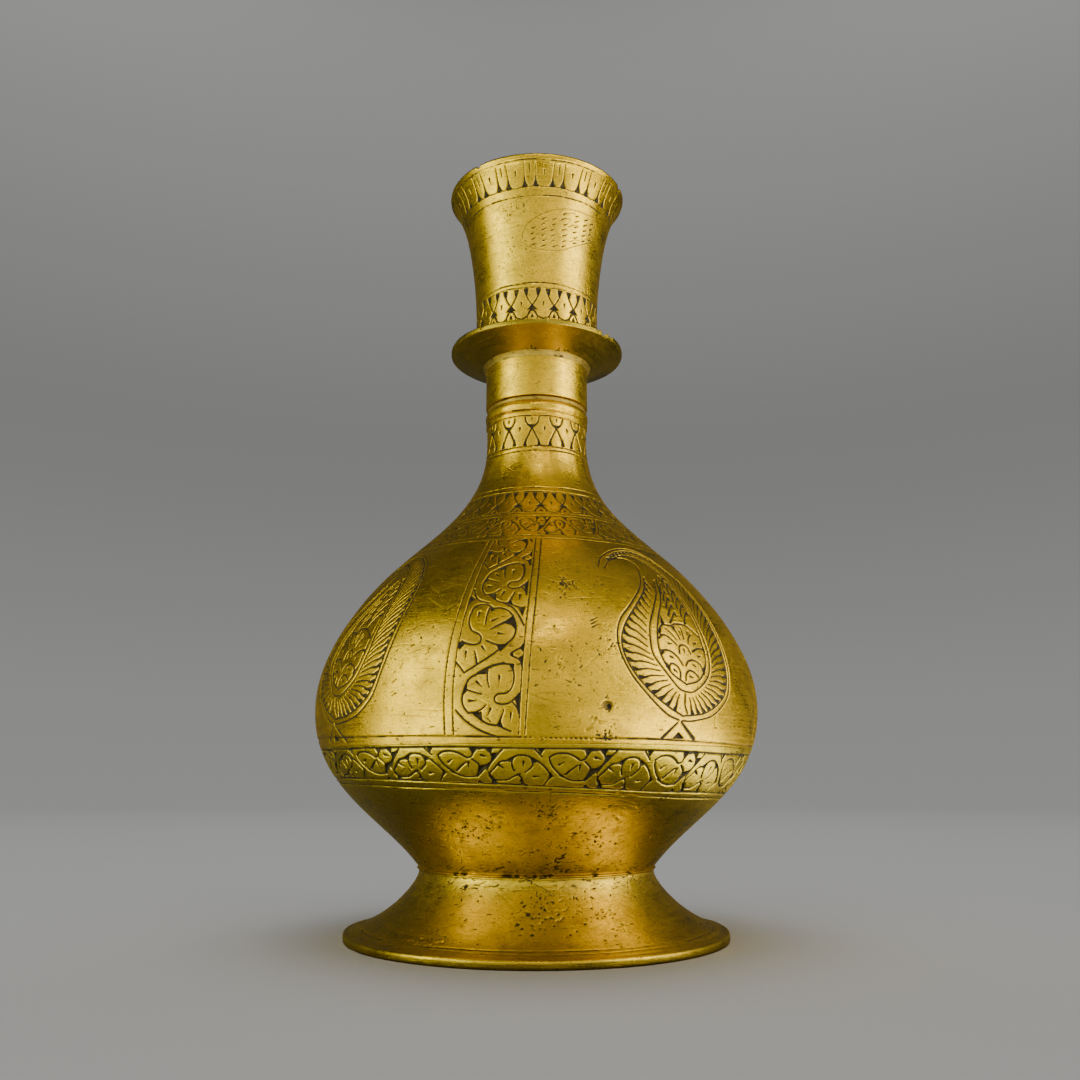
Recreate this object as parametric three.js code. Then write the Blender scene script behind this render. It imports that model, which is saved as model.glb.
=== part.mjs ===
// A long-necked engraved brass bottle: a hollow spreading foot, a round belly cast in two halves,
// a neck sleeve, a drip flange and a flared mouth cup, joined by soft solder.
// Millimetres, +Z up. The origin is on the bottle's axis, in the plane that the foot stands on.

import * as THREE from "three";
import { mergeVertices } from "three/addons/utils/BufferGeometryUtils.js";

// ---- Driving dimensions ----

const facets = 36; // flats around every turned piece
const wall = 2.0; // thickness of the cast walls
const jointGap = 0.1; // radial gap where one turned piece slides into another

// Heights of the joints, from the ground up
const footHeight = 16.1;
const waistSolderHeight = 0.6;
const bellyHeight = 55.1; // where the belly is widest
const shoulderHeight = 92.9; // where the belly turns into the shoulder
const neckHeight = 134.4;
const sleeveBottom = 136.0;
const sleeveTop = 147.8;
const cupBottom = 150.7;
const totalHeight = 200.0;

// Foot
const footRadius = 47.0;
const footRimThickness = 1.9;
const footStandWidth = 3.2; // the flat ring that the bottle stands on
const waistRadius = 29.2;
const throatRadius = 26.7; // hole in the top of the foot

// Belly and neck
const bellyRadius = 55.8;
const shoulderRadius = 33.8;
const neckRadius = 13.5;
const neckBore = 11.6;
const lapHeight = 2.0; // the two halves of the belly overlap by this much
const beadBulge = 0.5;

// Sleeve
const sleeveRadius = 13.9;
const sleeveBore = 9.9;
const sleeveSpigotDepth = 8.0; // how far the sleeve reaches down into the neck

// Drip flange
const flangeRadius = 23.7;
const flangeTopHeight = 152.9;
const flangeThickness = 1.3;
const flangeHoleRadius = 12.45;
const flangeSeatRadius = 18.0;

// Mouth cup
const cupRadius = 16.8;
const cupWall = 1.7;
const cupFloor = 2.0;
const cupThroat = 10.9;
const cupTailRadius = 12.3;
const cupTailDepth = 7.7; // how far the tail reaches down through the flange into the sleeve
const lipRadius = 24.8;
const lipFlatInner = 23.3;
const lipFlatOuter = 24.6;

// ---- Outline helpers: an outline is a list of (radius, height) points ----

function at(radius, height) {
  return new THREE.Vector2(radius, height);
}

// A smooth stretch of an outline: a cubic Bezier curve cut into short straight steps.
function sweep(start, startPull, endPull, end, steps) {
  return new THREE.CubicBezierCurve(start, startPull, endPull, end).getPoints(steps);
}

// The same stretch moved to its left by a distance: the inside of a wall whose outside runs upwards.
function movedInward(points, distance) {
  return points.map((point, i) => {
    const before = points[Math.max(i - 1, 0)];
    const after = points[Math.min(i + 1, points.length - 1)];
    const along = after.clone().sub(before).normalize();
    return at(point.x - distance * along.y, point.y + distance * along.x);
  });
}

// Part of a smooth curve, between two shares of it, cut into short straight steps.
function partOf(curve, from, to, steps) {
  const shares = Array.from({ length: steps + 1 }, (unused, i) => from + ((to - from) * i) / steps);
  return shares.map((share) => curve.getPoint(share));
}

// A turned piece: the outline runs anticlockwise (up the outside and down the inside), spun about
// the axis. An outline that doesn't touch the axis is closed on itself.
function turned(name, outline, material) {
  const touchesAxis = outline[0].x === 0;
  const profile = touchesAxis ? outline : [...outline, outline[0]];
  const lathe = new THREE.LatheGeometry(profile, facets);
  lathe.deleteAttribute("normal");
  lathe.deleteAttribute("uv");
  const merged = mergeVertices(lathe, 1e-4);
  const corners = merged.getIndex().array;
  const kept = [];
  for (let i = 0; i < corners.length; i += 3) {
    const [a, b, c] = corners.slice(i, i + 3);
    const hasArea = a !== b && b !== c && c !== a;
    if (hasArea) kept.push(a, b, c);
  }
  merged.setIndex(kept);
  merged.rotateX(Math.PI / 2);
  merged.computeVertexNormals();
  const mesh = new THREE.Mesh(merged, material);
  mesh.name = name;
  return mesh;
}

// ---- Materials ----

function agedBrass(colour, roughness) {
  return new THREE.MeshStandardMaterial({ color: colour, roughness, metalness: 1.0 });
}

function softSolder() {
  return new THREE.MeshStandardMaterial({ color: 0xa7976d, roughness: 0.5, metalness: 1.0 });
}

// ---- Foot: a spreading trumpet foot, hollow underneath ----

function foot() {
  const rimTop = at(footRadius - 0.1, footRimThickness);
  const outside = sweep(rimTop, at(38.9, 2.8), at(28.0, 13.0), at(waistRadius, footHeight), 9);
  const inside = movedInward(outside, wall);
  const standInner = at(footRadius - footStandWidth, 0);
  const outline = [
    standInner,
    at(footRadius, 0),
    at(footRadius, footRimThickness - 0.4),
    ...outside,
    at(throatRadius, footHeight),
    at(throatRadius, footHeight - 2.5),
    ...inside.slice(2, -3).reverse(),
  ];
  return turned("foot", outline, agedBrass(0xa07c2c, 0.38));
}

// ---- Belly, lower half: a closed bowl with a register that drops into the foot ----

const seatHeight = footHeight + waistSolderHeight;

// The lower half's outside, from the waist to the widest place.
const lowerBelly = new THREE.CubicBezierCurve(
  at(waistRadius, seatHeight),
  at(39.5, 29.5),
  at(bellyRadius, 35.3),
  at(bellyRadius, bellyHeight),
);
const seamShare = 0.8; // how far along that curve the seam between the halves lies
const seam = lowerBelly.getPoint(seamShare);

function lowerBowl() {
  const outside = partOf(lowerBelly, 0, seamShare, 7);
  const inside = movedInward(outside, wall).slice(1, -1);
  const tongue = seam.x - wall / 2 - jointGap / 2;
  const tongueTop = seam.y + lapHeight - 0.3;
  const outline = [
    at(0, seatHeight - 3.0),
    at(14, seatHeight - 2.8),
    at(throatRadius - jointGap, seatHeight - 2.0),
    at(throatRadius - jointGap, seatHeight),
    ...outside,
    at(tongue, seam.y),
    at(tongue, tongueTop),
    at(seam.x - wall + 0.3, tongueTop),
    ...inside.reverse(),
    at(24, seatHeight + 0.6),
    at(14, seatHeight - 0.3),
    at(0, seatHeight - 0.6),
  ];
  return turned("lower_bowl", outline, agedBrass(0xb08c36, 0.36));
}

// ---- Belly, upper half: the rest of the belly, the shoulder and the neck with its two beads ----

function bead(bottom, top) {
  const middle = (bottom + top) / 2;
  return [
    at(neckRadius, bottom),
    at(neckRadius + beadBulge, middle),
    at(neckRadius, top),
  ];
}

function upperBowl() {
  const widest = at(bellyRadius, bellyHeight);
  const shoulder = at(shoulderRadius, shoulderHeight);
  const bandBottom = at(neckRadius, 126);
  const lower = partOf(lowerBelly, seamShare, 1, 2).slice(0, -1);
  const upper = sweep(widest, at(bellyRadius, 68.6), at(45.0, 82.9), shoulder, 8);
  const neck = sweep(shoulder, at(23.1, 102.4), at(neckRadius, 110.8), bandBottom, 9);
  const curved = [...lower, ...upper, ...neck.slice(1)];
  const inside = movedInward(curved, wall).filter((point) => point.x > neckBore + 0.2);
  const skirt = seam.x - wall / 2 + jointGap / 2;
  const outline = [
    at(skirt, seam.y),
    ...curved,
    ...bead(130.1, 131.7),
    ...bead(131.9, 134.2),
    at(neckRadius, neckHeight),
    at(neckBore, neckHeight),
    at(neckBore, 122),
    ...inside.slice(1).reverse(),
    at(skirt - wall / 2 + 0.3, seam.y + lapHeight),
    at(skirt, seam.y + lapHeight),
  ];
  return turned("upper_bowl", outline, agedBrass(0xb9963c, 0.34));
}

// ---- Neck sleeve: a plain collar with a spigot below and a socket above ----

function neckSleeve() {
  const spigot = neckBore - jointGap;
  const socket = cupTailRadius + jointGap;
  const outline = [
    at(sleeveBore, neckHeight - sleeveSpigotDepth),
    at(spigot, neckHeight - sleeveSpigotDepth),
    at(spigot, sleeveBottom),
    at(sleeveRadius, sleeveBottom),
    at(sleeveRadius, sleeveTop),
    at(socket, sleeveTop),
    at(socket, cupBottom - cupTailDepth - 0.2),
    at(sleeveBore, cupBottom - cupTailDepth - 0.2),
  ];
  return turned("neck_sleeve", outline, agedBrass(0xb9963c, 0.34));
}

// ---- Drip flange: a shallow dished plate clamped between the sleeve and the cup ----

function dripFlange() {
  const outline = [
    at(flangeHoleRadius, sleeveTop),
    at(sleeveRadius, sleeveTop),
    at(flangeRadius, flangeTopHeight - flangeThickness),
    at(flangeRadius, flangeTopHeight),
    at(flangeSeatRadius, cupBottom),
    at(flangeHoleRadius, cupBottom),
  ];
  return turned("drip_flange", outline, agedBrass(0xae8c38, 0.36));
}

// ---- Mouth cup: a flared cup whose floor has the throat, with a tail that holds it in the sleeve ----

function mouthCup() {
  const flareBottom = at(cupRadius, cupBottom + 6);
  const underLip = at(lipRadius - 0.5, totalHeight - 1.6);
  const outside = sweep(flareBottom, at(cupRadius, 169), at(18.3, 191.5), underLip, 9);
  const inside = movedInward(outside, cupWall);
  const outline = [
    at(cupThroat, cupBottom - cupTailDepth),
    at(cupTailRadius, cupBottom - cupTailDepth),
    at(cupTailRadius, cupBottom),
    at(cupRadius, cupBottom),
    ...outside,
    at(lipRadius, totalHeight - 0.6),
    at(lipFlatOuter, totalHeight),
    at(lipFlatInner, totalHeight),
    ...inside.slice(1).reverse(),
    at(cupRadius - cupWall, cupBottom + cupFloor + 1.5),
    at(cupRadius - cupWall - 1.5, cupBottom + cupFloor),
    at(cupThroat, cupBottom + cupFloor),
  ];
  return turned("mouth_cup", outline, agedBrass(0xbc9a40, 0.34));
}

// ---- Solder: a ring at the waist, a fin in the neck groove and a fillet under the flange ----

function waistSolder() {
  const outline = [
    at(throatRadius + 0.1, footHeight),
    at(waistRadius, footHeight),
    at(waistRadius + 0.3, footHeight + waistSolderHeight / 2),
    at(waistRadius, seatHeight),
    at(throatRadius + 0.1, seatHeight),
  ];
  return turned("waist_solder", outline, softSolder());
}

function neckSolder() {
  const finRadius = 13.5;
  const grooveRadius = 12.9;
  const grooveWidth = 0.5;
  const outline = [
    at(neckBore, neckHeight),
    at(grooveRadius, neckHeight),
    at(finRadius, neckHeight + grooveWidth),
    at(finRadius, sleeveBottom - grooveWidth),
    at(grooveRadius, sleeveBottom),
    at(neckBore, sleeveBottom),
  ];
  return turned("neck_solder", outline, softSolder());
}

function flangeSolder() {
  const legWidth = 1.0;
  const undersideSlope = (flangeTopHeight - flangeThickness - sleeveTop) / (flangeRadius - sleeveRadius);
  const outline = [
    at(sleeveRadius, sleeveTop - legWidth),
    at(sleeveRadius + legWidth, sleeveTop + legWidth * undersideSlope),
    at(sleeveRadius, sleeveTop),
  ];
  return turned("flange_solder", outline, softSolder());
}

// ---- The bottle ----

const bottle = new THREE.Group();
bottle.add(foot(), lowerBowl(), upperBowl(), neckSleeve(), dripFlange(), mouthCup());
bottle.add(waistSolder(), neckSolder(), flangeSolder());

export default bottle;
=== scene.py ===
"""The looks of the engraved brass bottle.

Every CAD piece is replaced by a finely turned mesh of the same outline, and all the chiselled
ornament, pits, dents and nicks are cut into that mesh. Lengths are in millimetres until a mesh is
made; the floor, lights and camera are in metres. Around the bottle, angle 0 is the front (-Y) and
angles grow towards +X. On the skin of a piece, "along" is the distance measured over the surface, up
the outside of the bottle.
"""

import math

import bpy
import numpy as np
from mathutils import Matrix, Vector


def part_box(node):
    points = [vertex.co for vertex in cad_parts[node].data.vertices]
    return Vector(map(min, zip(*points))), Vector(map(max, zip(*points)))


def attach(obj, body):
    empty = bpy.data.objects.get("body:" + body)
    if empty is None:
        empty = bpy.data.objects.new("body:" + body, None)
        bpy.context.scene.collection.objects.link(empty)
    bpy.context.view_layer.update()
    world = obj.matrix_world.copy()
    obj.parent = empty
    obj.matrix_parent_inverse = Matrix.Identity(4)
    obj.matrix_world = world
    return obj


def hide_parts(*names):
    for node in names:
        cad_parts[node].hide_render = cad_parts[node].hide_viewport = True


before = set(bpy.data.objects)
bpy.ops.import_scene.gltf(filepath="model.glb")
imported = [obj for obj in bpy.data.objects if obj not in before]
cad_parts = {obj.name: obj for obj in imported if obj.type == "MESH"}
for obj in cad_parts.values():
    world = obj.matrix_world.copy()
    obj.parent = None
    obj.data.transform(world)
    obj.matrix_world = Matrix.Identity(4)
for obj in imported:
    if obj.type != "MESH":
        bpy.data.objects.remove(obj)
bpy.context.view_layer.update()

MM = 0.001
random = np.random.default_rng(7)


# ----------------------------------------
# Sizes read from the frame
# ----------------------------------------


def evenly_round(count):
    """Evenly spaced angles once round, from 0."""
    return np.arange(count) * 2 * math.pi / count


def bottom(node):
    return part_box(node)[0].z / MM


def top(node):
    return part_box(node)[1].z / MM


def radius(node):
    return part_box(node)[1].x / MM


FOOT_R = radius("foot")
FOOT_TOP = top("foot")
SEAT = top("waist_solder")
SEAM = bottom("upper_bowl")
SEAM_R = radius("lower_bowl")
BELLY_R = radius("upper_bowl")
NECK_TOP = top("upper_bowl")
SLEEVE_LOW = top("neck_solder")
SLEEVE_TOP = bottom("drip_flange")
SLEEVE_R = radius("neck_sleeve")
FLANGE_R = radius("drip_flange")
FLANGE_TOP = top("drip_flange")
CUP_TOP = top("mouth_cup")
LIP_R = radius("mouth_cup")

# Sizes that no box in the frame shows
WALL = 2.0
WAIST_R = 29.2  # where the foot meets the bowl
THROAT_R = 26.6  # the opening at the top of the foot
BAND_FLOOR = 31.0  # the ornament of the lower bowl starts here
BELLY_Z = 55.1  # where the belly is widest
SHOULDER = (33.8, 92.9)  # where the belly turns into the neck
NECK_LOW = 111.0  # the neck is nearly straight from here
NECK_R = 13.5
SPIGOT_R = 12.45  # the joint between the sleeve and the flange
FLANGE_EDGE = 1.3  # how thick the rim of the flange is
FLANGE_SEAT_R = 18.0
CUP_SEAT = 150.7
CUP_R = 16.8  # the cup at its foot
CUP_WALL = 1.7

REST_COLUMNS = 256  # points round the parts that aren't cut
ON_AXIS = 1e-6  # a smaller radius is a single point on the axis


# ----------------------------------------
# Outlines: arrays of (radius, height)
# ----------------------------------------


def bezier(start, pull_start, pull_end, end, count=160):
    t = np.linspace(0, 1, count)[:, None]
    a, b, c, d = (np.array(p, float) for p in (start, pull_start, pull_end, end))
    return (1 - t) ** 3 * a + 3 * (1 - t) ** 2 * t * b + 3 * (1 - t) * t**2 * c + t**3 * d


def filleted(corners, size):
    """Straight runs between corners, with each inner corner rounded off."""
    corners = [np.array(c, float) for c in corners]
    points = [corners[0]]
    for before, corner, after in zip(corners, corners[1:], corners[2:]):
        into = corner - before
        out = after - corner
        cut = min(size, 0.45 * np.hypot(*into), 0.45 * np.hypot(*out))
        first = corner - into / np.hypot(*into) * cut
        last = corner + out / np.hypot(*out) * cut
        for t in np.linspace(0, 1, 5):
            points.append((1 - t) ** 2 * first + 2 * (1 - t) * t * corner + t**2 * last)
    points.append(corners[-1])
    return np.array(points)


def joined(*parts):
    return np.concatenate([np.array(p, float).reshape(-1, 2) for p in parts])


def inset(outline, distance):
    """The outline moved inwards, as the inside of a wall."""
    along = np.gradient(outline, axis=0)
    along /= np.hypot(*along.T)[:, None]
    return outline + distance * np.stack([-along[:, 1], along[:, 0]], 1)


def between(outline, low_z, high_z):
    """The part of a rising outline between two heights."""
    inside = (outline[:, 1] > low_z) & (outline[:, 1] < high_z)
    ends = [(np.interp(z, outline[:, 1], outline[:, 0]), z) for z in (low_z, high_z)]
    return joined(ends[0], outline[inside], ends[1])


# ----------------------------------------
# Turned pieces with a cut skin
# ----------------------------------------


def hollowed(distance, width):
    """The share of its full depth that a tool cuts, at a distance from the middle of its stroke."""
    return np.clip(1.15 - 1.15 * distance / width, 0, 1)


def shaded(hollow):
    """How dark a stroke is: the dirt keeps off its upper edges."""
    return np.clip(hollow * 1.6 - 0.3, 0, 1)


class Skin:
    """A stretch of a piece's outside: rings of points that tools can cut into."""

    def __init__(self, outline, step, columns, start):
        lengths = np.concatenate([[0], np.cumsum(np.hypot(*np.diff(outline, axis=0).T))])
        rows = max(2, int(round(lengths[-1] / step)) + 1)
        along = np.linspace(0, lengths[-1], rows)
        self.s = start + along
        self.r = np.interp(along, lengths, outline[:, 0])
        self.z = np.interp(along, lengths, outline[:, 1])
        self.columns = columns
        self.theta = evenly_round(columns)
        self.depth = np.zeros((rows, columns))
        self.dark = np.zeros((rows, columns))

    def window(self, theta, along, reach):
        """The points within reach of a span: the radius there, the rows, the columns and their angles."""
        middle_r = float(np.interp((along[0] + along[1]) / 2, self.s, self.r))
        low = np.searchsorted(self.s, along[0] - reach)
        high = np.searchsorted(self.s, along[1] + reach)
        step = 2 * math.pi / self.columns
        first = math.floor((theta[0] - reach / middle_r) / step)
        last = math.ceil((theta[1] + reach / middle_r) / step)
        wanted = np.arange(first, last + 1)
        return middle_r, slice(low, high), wanted % self.columns, wanted * step


class Piece:
    """A solid turned about the axis: cut skins up its outside, and a plain rest that closes it."""

    def __init__(self, name, skins, rest, rest_step):
        self.name = name
        self.skins = []
        start = 0.0
        for outline, step, columns in skins:
            skin = Skin(outline, step, columns, start)
            self.skins.append(skin)
            start = skin.s[-1]
        self.rest = Skin(rest, rest_step, REST_COLUMNS, 0.0)
        self.uneven = 0.0  # how strongly the skin swells and sinks
        self.dents = []
        self.limits = (-math.inf, math.inf)  # tools don't cut beyond these distances along the skin
        self.boldness = 1.0  # how strongly tools cut and darken

    def along(self, height):
        """Distance along the skin at a height."""
        z = np.concatenate([skin.z for skin in self.skins])
        s = np.concatenate([skin.s for skin in self.skins])
        order = np.argsort(z, kind="stable")
        return float(np.interp(height, z[order], s[order]))

    def radius_at(self, along):
        s = np.concatenate([skin.s for skin in self.skins])
        r = np.concatenate([skin.r for skin in self.skins])
        return float(np.interp(along, s, r))

    # -- tools --

    def keep_deepest(self, skin, rows, columns, depth, dark):
        at = np.ix_(range(rows.start, rows.stop), columns)
        skin.depth[at] = np.maximum(skin.depth[at], depth * self.boldness)
        skin.dark[at] = np.maximum(skin.dark[at], dark * self.boldness)

    def groove(self, start, end, start_width, end_width, depth, dark=1.0):
        """One straight tool stroke between two (angle, along) points; widths are half-widths."""
        if max(start[1], end[1]) > self.limits[1] or min(start[1], end[1]) < self.limits[0]:
            return
        reach = max(start_width, end_width)
        for skin in self.skins:
            span = sorted((start[1], end[1]))
            if span[0] - reach > skin.s[-1] or span[1] + reach < skin.s[0]:
                continue
            turn = sorted((start[0], end[0]))
            r, rows, columns, angles = skin.window(turn, span, reach)
            if rows.stop <= rows.start:
                continue
            x = (angles[None, :] - start[0]) * r
            y = skin.s[rows][:, None] - start[1]
            dx = (end[0] - start[0]) * r
            dy = end[1] - start[1]
            length = dx * dx + dy * dy + 1e-9
            t = np.clip((x * dx + y * dy) / length, 0, 1)
            distance = np.hypot(x - t * dx, y - t * dy)
            width = start_width + (end_width - start_width) * t
            hollow = hollowed(distance, np.maximum(width, 0.02))
            full = depth * np.clip(width / reach, 0, 1) ** 0.5
            self.keep_deepest(skin, rows, columns, full * hollow, dark * shaded(hollow))

    def sink(self, corners, depth, dark=1.0, slope=0.3):
        """Lowers the ground inside a convex outline of (angle, along) corners."""
        corners = np.array(corners, float)
        corners[:, 1] = np.clip(corners[:, 1], *self.limits)
        spans = corners[:, 1].min(), corners[:, 1].max()
        turns = corners[:, 0].min(), corners[:, 0].max()
        for skin in self.skins:
            if spans[0] > skin.s[-1] or spans[1] < skin.s[0]:
                continue
            r, rows, columns, angles = skin.window(turns, spans, 0.1)
            if rows.stop <= rows.start:
                continue
            x = (angles[None, :] - corners[0, 0]) * r
            y = skin.s[rows][:, None] - corners[0, 1]
            flat = np.stack([(corners[:, 0] - corners[0, 0]) * r, corners[:, 1] - corners[0, 1]], 1)
            edges = np.roll(flat, -1, 0) - flat
            area = np.sum(flat[:, 0] * np.roll(flat[:, 1], -1) - flat[:, 1] * np.roll(flat[:, 0], -1))
            inside = np.full(np.broadcast(x, y).shape, 1e9)
            for corner, edge in zip(flat, edges):
                off = (edge[0] * (y - corner[1]) - edge[1] * (x - corner[0])) / (np.hypot(*edge) + 1e-9)
                inside = np.minimum(inside, off * np.sign(area))
            hollow = np.clip(inside / slope + 0.35, 0, 1)
            self.keep_deepest(skin, rows, columns, depth * hollow, dark * np.clip(hollow * 1.5, 0, 1))

    def ring(self, along, width, depth, dark=0.7, gaps=None):
        """A line all the way round; along may change with the angle, and gaps fade it."""
        for skin in self.skins:
            height = along(skin.theta) if callable(along) else np.full(skin.columns, along)
            if height.min() - width > skin.s[-1] or height.max() + width < skin.s[0]:
                continue
            low = np.searchsorted(skin.s, height.min() - width)
            high = np.searchsorted(skin.s, height.max() + width)
            distance = np.abs(skin.s[low:high, None] - height[None, :])
            strength = 1.0 if gaps is None else gaps(skin.theta)[None, :]
            hollow = hollowed(distance, width) * strength
            columns = np.arange(skin.columns)
            self.keep_deepest(skin, slice(low, high), columns, depth * hollow, dark * shaded(hollow))

    # -- making the mesh --

    def swell(self, skin):
        """Slow hand-finished unevenness of the skin, fading out at both ends of the piece."""
        if self.uneven == 0:
            return 0.0
        maker = np.random.default_rng(hash_of(self.name))
        total = np.zeros((len(skin.s), skin.columns))
        for turns, rise, phase, size in self.waves(maker):
            around = turns * skin.theta[None, :]
            total += size * np.cos(around + rise * skin.s[:, None] + phase)
        ends = np.minimum(skin.s - self.skins[0].s[0], self.skins[-1].s[-1] - skin.s)
        return self.uneven * total * np.clip(ends / 2.0, 0, 1)[:, None]

    def waves(self, maker):
        """Random waves over the skin: turns round the piece, rise, phase and height, longer ones higher."""
        for _ in range(28):
            length = maker.uniform(7, 30)
            direction = maker.uniform(0, math.pi)
            turns = round(2 * math.pi * self.skins[0].r.max() / length * math.cos(direction))
            rise = 2 * math.pi / length * math.sin(direction)
            yield turns, rise, maker.uniform(0, 2 * math.pi), length / 1600

    def build(self, material):
        """The mesh object, with the skins cut and the rest plain."""
        rings = []  # (radius row, height row, dark row, outline fraction)
        strips = [*self.skins, self.rest]
        total = sum(strip.s[-1] - strip.s[0] for strip in strips)
        done = 0.0
        for number, strip in enumerate(strips):
            normal = np.stack([np.gradient(strip.z), -np.gradient(strip.r)], 1)
            normal /= np.maximum(np.hypot(*normal.T), 1e-9)[:, None]
            is_skin = strip is not self.rest
            lift = self.swell(strip) - strip.depth if is_skin else np.zeros_like(strip.depth)
            first = 0 if number == 0 else 1
            last = len(strip.s) if is_skin or strip.r[-1] < ON_AXIS else len(strip.s) - 1
            for row in range(first, last):
                fraction = (done + strip.s[row] - strip.s[0]) / total
                if strip.r[row] < ON_AXIS:
                    rings.append((np.zeros(1), strip.z[row : row + 1], np.zeros(1), fraction))
                    continue
                r = strip.r[row] + normal[row, 0] * lift[row]
                z = strip.z[row] + normal[row, 1] * lift[row]
                rings.append((r, z, strip.dark[row], fraction))
            done += strip.s[-1] - strip.s[0]
        starts_on_axis = self.skins[0].r[0] < ON_AXIS
        return mesh_of_rings(self.name, rings, not starts_on_axis, material, self.dents)


def hash_of(text):
    """A small number that depends only on the text."""
    return sum((i + 1) * ord(letter) for i, letter in enumerate(text))


def mesh_of_rings(name, rings, closed, material, dents):
    """An object whose mesh joins each ring to the next one, and the last to the first if closed."""
    counts = [len(ring[0]) for ring in rings]
    firsts = np.concatenate([[0], np.cumsum(counts)])
    points = np.empty((firsts[-1], 3))
    dark = np.empty(firsts[-1])
    for (r, z, shade, _), first, count in zip(rings, firsts, counts):
        theta = evenly_round(count)
        points[first : first + count, 0] = r * np.sin(theta)
        points[first : first + count, 1] = -r * np.cos(theta)
        points[first : first + count, 2] = z
        dark[first : first + count] = shade
    for place, size, push in dents:
        away = np.linalg.norm((points - place) / size, axis=1)
        near = away < 1
        points[near] += np.array(push) * ((1 - away[near] ** 2) ** 2)[:, None]

    corners, sizes, uvs = [], [], []
    pairs = list(range(len(rings) - 1)) + ([len(rings) - 1] if closed else [])
    for low in pairs:
        high = (low + 1) % len(rings)
        high_v = rings[high][3] if high else 1.0
        verts, us, tops = bridge(counts[low], counts[high], firsts[low], firsts[high])
        corners.append(verts.ravel())
        sizes.append(np.full(len(verts), verts.shape[1]))
        v = np.where(tops, high_v, rings[low][3])
        uvs.append(np.stack([us.ravel(), np.broadcast_to(v, us.shape).ravel()], 1))
    corners = np.concatenate(corners)
    sizes = np.concatenate(sizes)
    uvs = np.concatenate(uvs)

    mesh = bpy.data.meshes.new(name)
    mesh.vertices.add(len(points))
    mesh.vertices.foreach_set("co", (points * MM).astype(np.float32).ravel())
    mesh.loops.add(len(corners))
    mesh.loops.foreach_set("vertex_index", corners.astype(np.int32))
    mesh.polygons.add(len(sizes))
    starts = np.concatenate([[0], np.cumsum(sizes)[:-1]])
    mesh.polygons.foreach_set("loop_start", starts.astype(np.int32))
    mesh.polygons.foreach_set("use_smooth", np.ones(len(sizes), bool))
    layer = mesh.uv_layers.new(name="OFBake")
    layer.data.foreach_set("uv", uvs.astype(np.float32).ravel())
    shade = mesh.attributes.new("cut", "FLOAT", "POINT")
    shade.data.foreach_set("value", dark.astype(np.float32))
    mesh.update(calc_edges=True)
    mesh.validate()
    mesh.materials.append(material)
    piece = bpy.data.objects.new(name, mesh)
    bpy.context.scene.collection.objects.link(piece)
    return piece


def bridge(low_count, high_count, low_first, high_first):
    """Faces between two rings whose point counts divide each other: vertices, u, and which are high."""
    faces = min(low_count, high_count)
    if faces == 1:
        faces = max(low_count, high_count)
    column = np.arange(faces)[:, None]
    low_ratio = max(low_count // faces, 1)
    high_ratio = max(high_count // faces, 1)
    low_steps = column * low_ratio + np.arange(low_ratio + 1)[None, :]
    high_steps = column * high_ratio + np.arange(high_ratio + 1)[None, ::-1]
    if low_count == 1:
        low_steps = column
        low_u = (column + 0.5) / faces
    else:
        low_u = low_steps / low_count
    if high_count == 1:
        high_steps = column
        high_u = (column + 0.5) / faces
    else:
        high_u = high_steps / high_count
    vertices = np.concatenate([low_first + low_steps % low_count, high_first + high_steps % high_count], 1)
    us = np.concatenate([low_u, high_u], 1)
    tops = np.concatenate([np.zeros_like(low_u, bool), np.ones_like(high_u, bool)], 1)
    return vertices, us, tops


# ----------------------------------------
# The engraver's tools: motifs are drawn in millimetres and placed on a skin
# ----------------------------------------

LINE = 0.28  # half-width of a chiselled line
LINE_DEPTH = 0.24
LINE_DARK = 0.95
GROUND_DEPTH = 0.45


class Place:
    """Where a motif goes: x runs round the bottle towards +X, y runs up over the surface."""

    def __init__(self, piece, degrees, along, r=None):
        self.piece = piece
        self.theta = math.radians(degrees)
        self.along = along
        self.r = r or piece.radius_at(along)
        self.flip = 1  # -1 mirrors the motif

    def on_skin(self, points):
        """Drawn points as (angle, along) points of the skin."""
        points = np.array(points, float).reshape(-1, 2)
        return np.stack([self.theta + self.flip * points[:, 0] / self.r, self.along + points[:, 1]], 1)


class BandPlace(Place):
    """A place in a band: y runs from 0 at the band's lower line to 1 at its upper line."""

    def __init__(self, piece, degrees, floor, ceiling, drawn=(1.0, 1.0)):
        middle = (floor(0.0) + ceiling(0.0)) / 2
        super().__init__(piece, degrees, middle)
        self.floor = floor
        self.ceiling = ceiling
        self.drawn = drawn  # what one unit of x is in millimetres, and how high the band is drawn

    def on_skin(self, points):
        points = np.array(points, float).reshape(-1, 2)
        theta = self.theta + self.flip * points[:, 0] * self.drawn[0] / self.r
        low = self.floor(theta)
        return np.stack([theta, low + points[:, 1] / self.drawn[1] * (self.ceiling(theta) - low)], 1)


def through(points, step=0.6):
    """A smooth line through a few points, by Catmull-Rom."""
    points = np.array(points, float)
    padded = np.concatenate([[2 * points[0] - points[1]], points, [2 * points[-1] - points[-2]]])
    line = [points[:1]]
    for a, b, c, d in zip(padded, padded[1:], padded[2:], padded[3:]):
        count = max(1, math.ceil(np.hypot(*(c - b)) / step))
        t = (np.arange(1, count + 1) / count)[:, None]
        curve = 2 * b + (c - a) * t + (2 * a - 5 * b + 4 * c - d) * t**2 + (3 * b - a - 3 * c + d) * t**3
        line.append(curve / 2)
    return np.concatenate(line)


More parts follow.
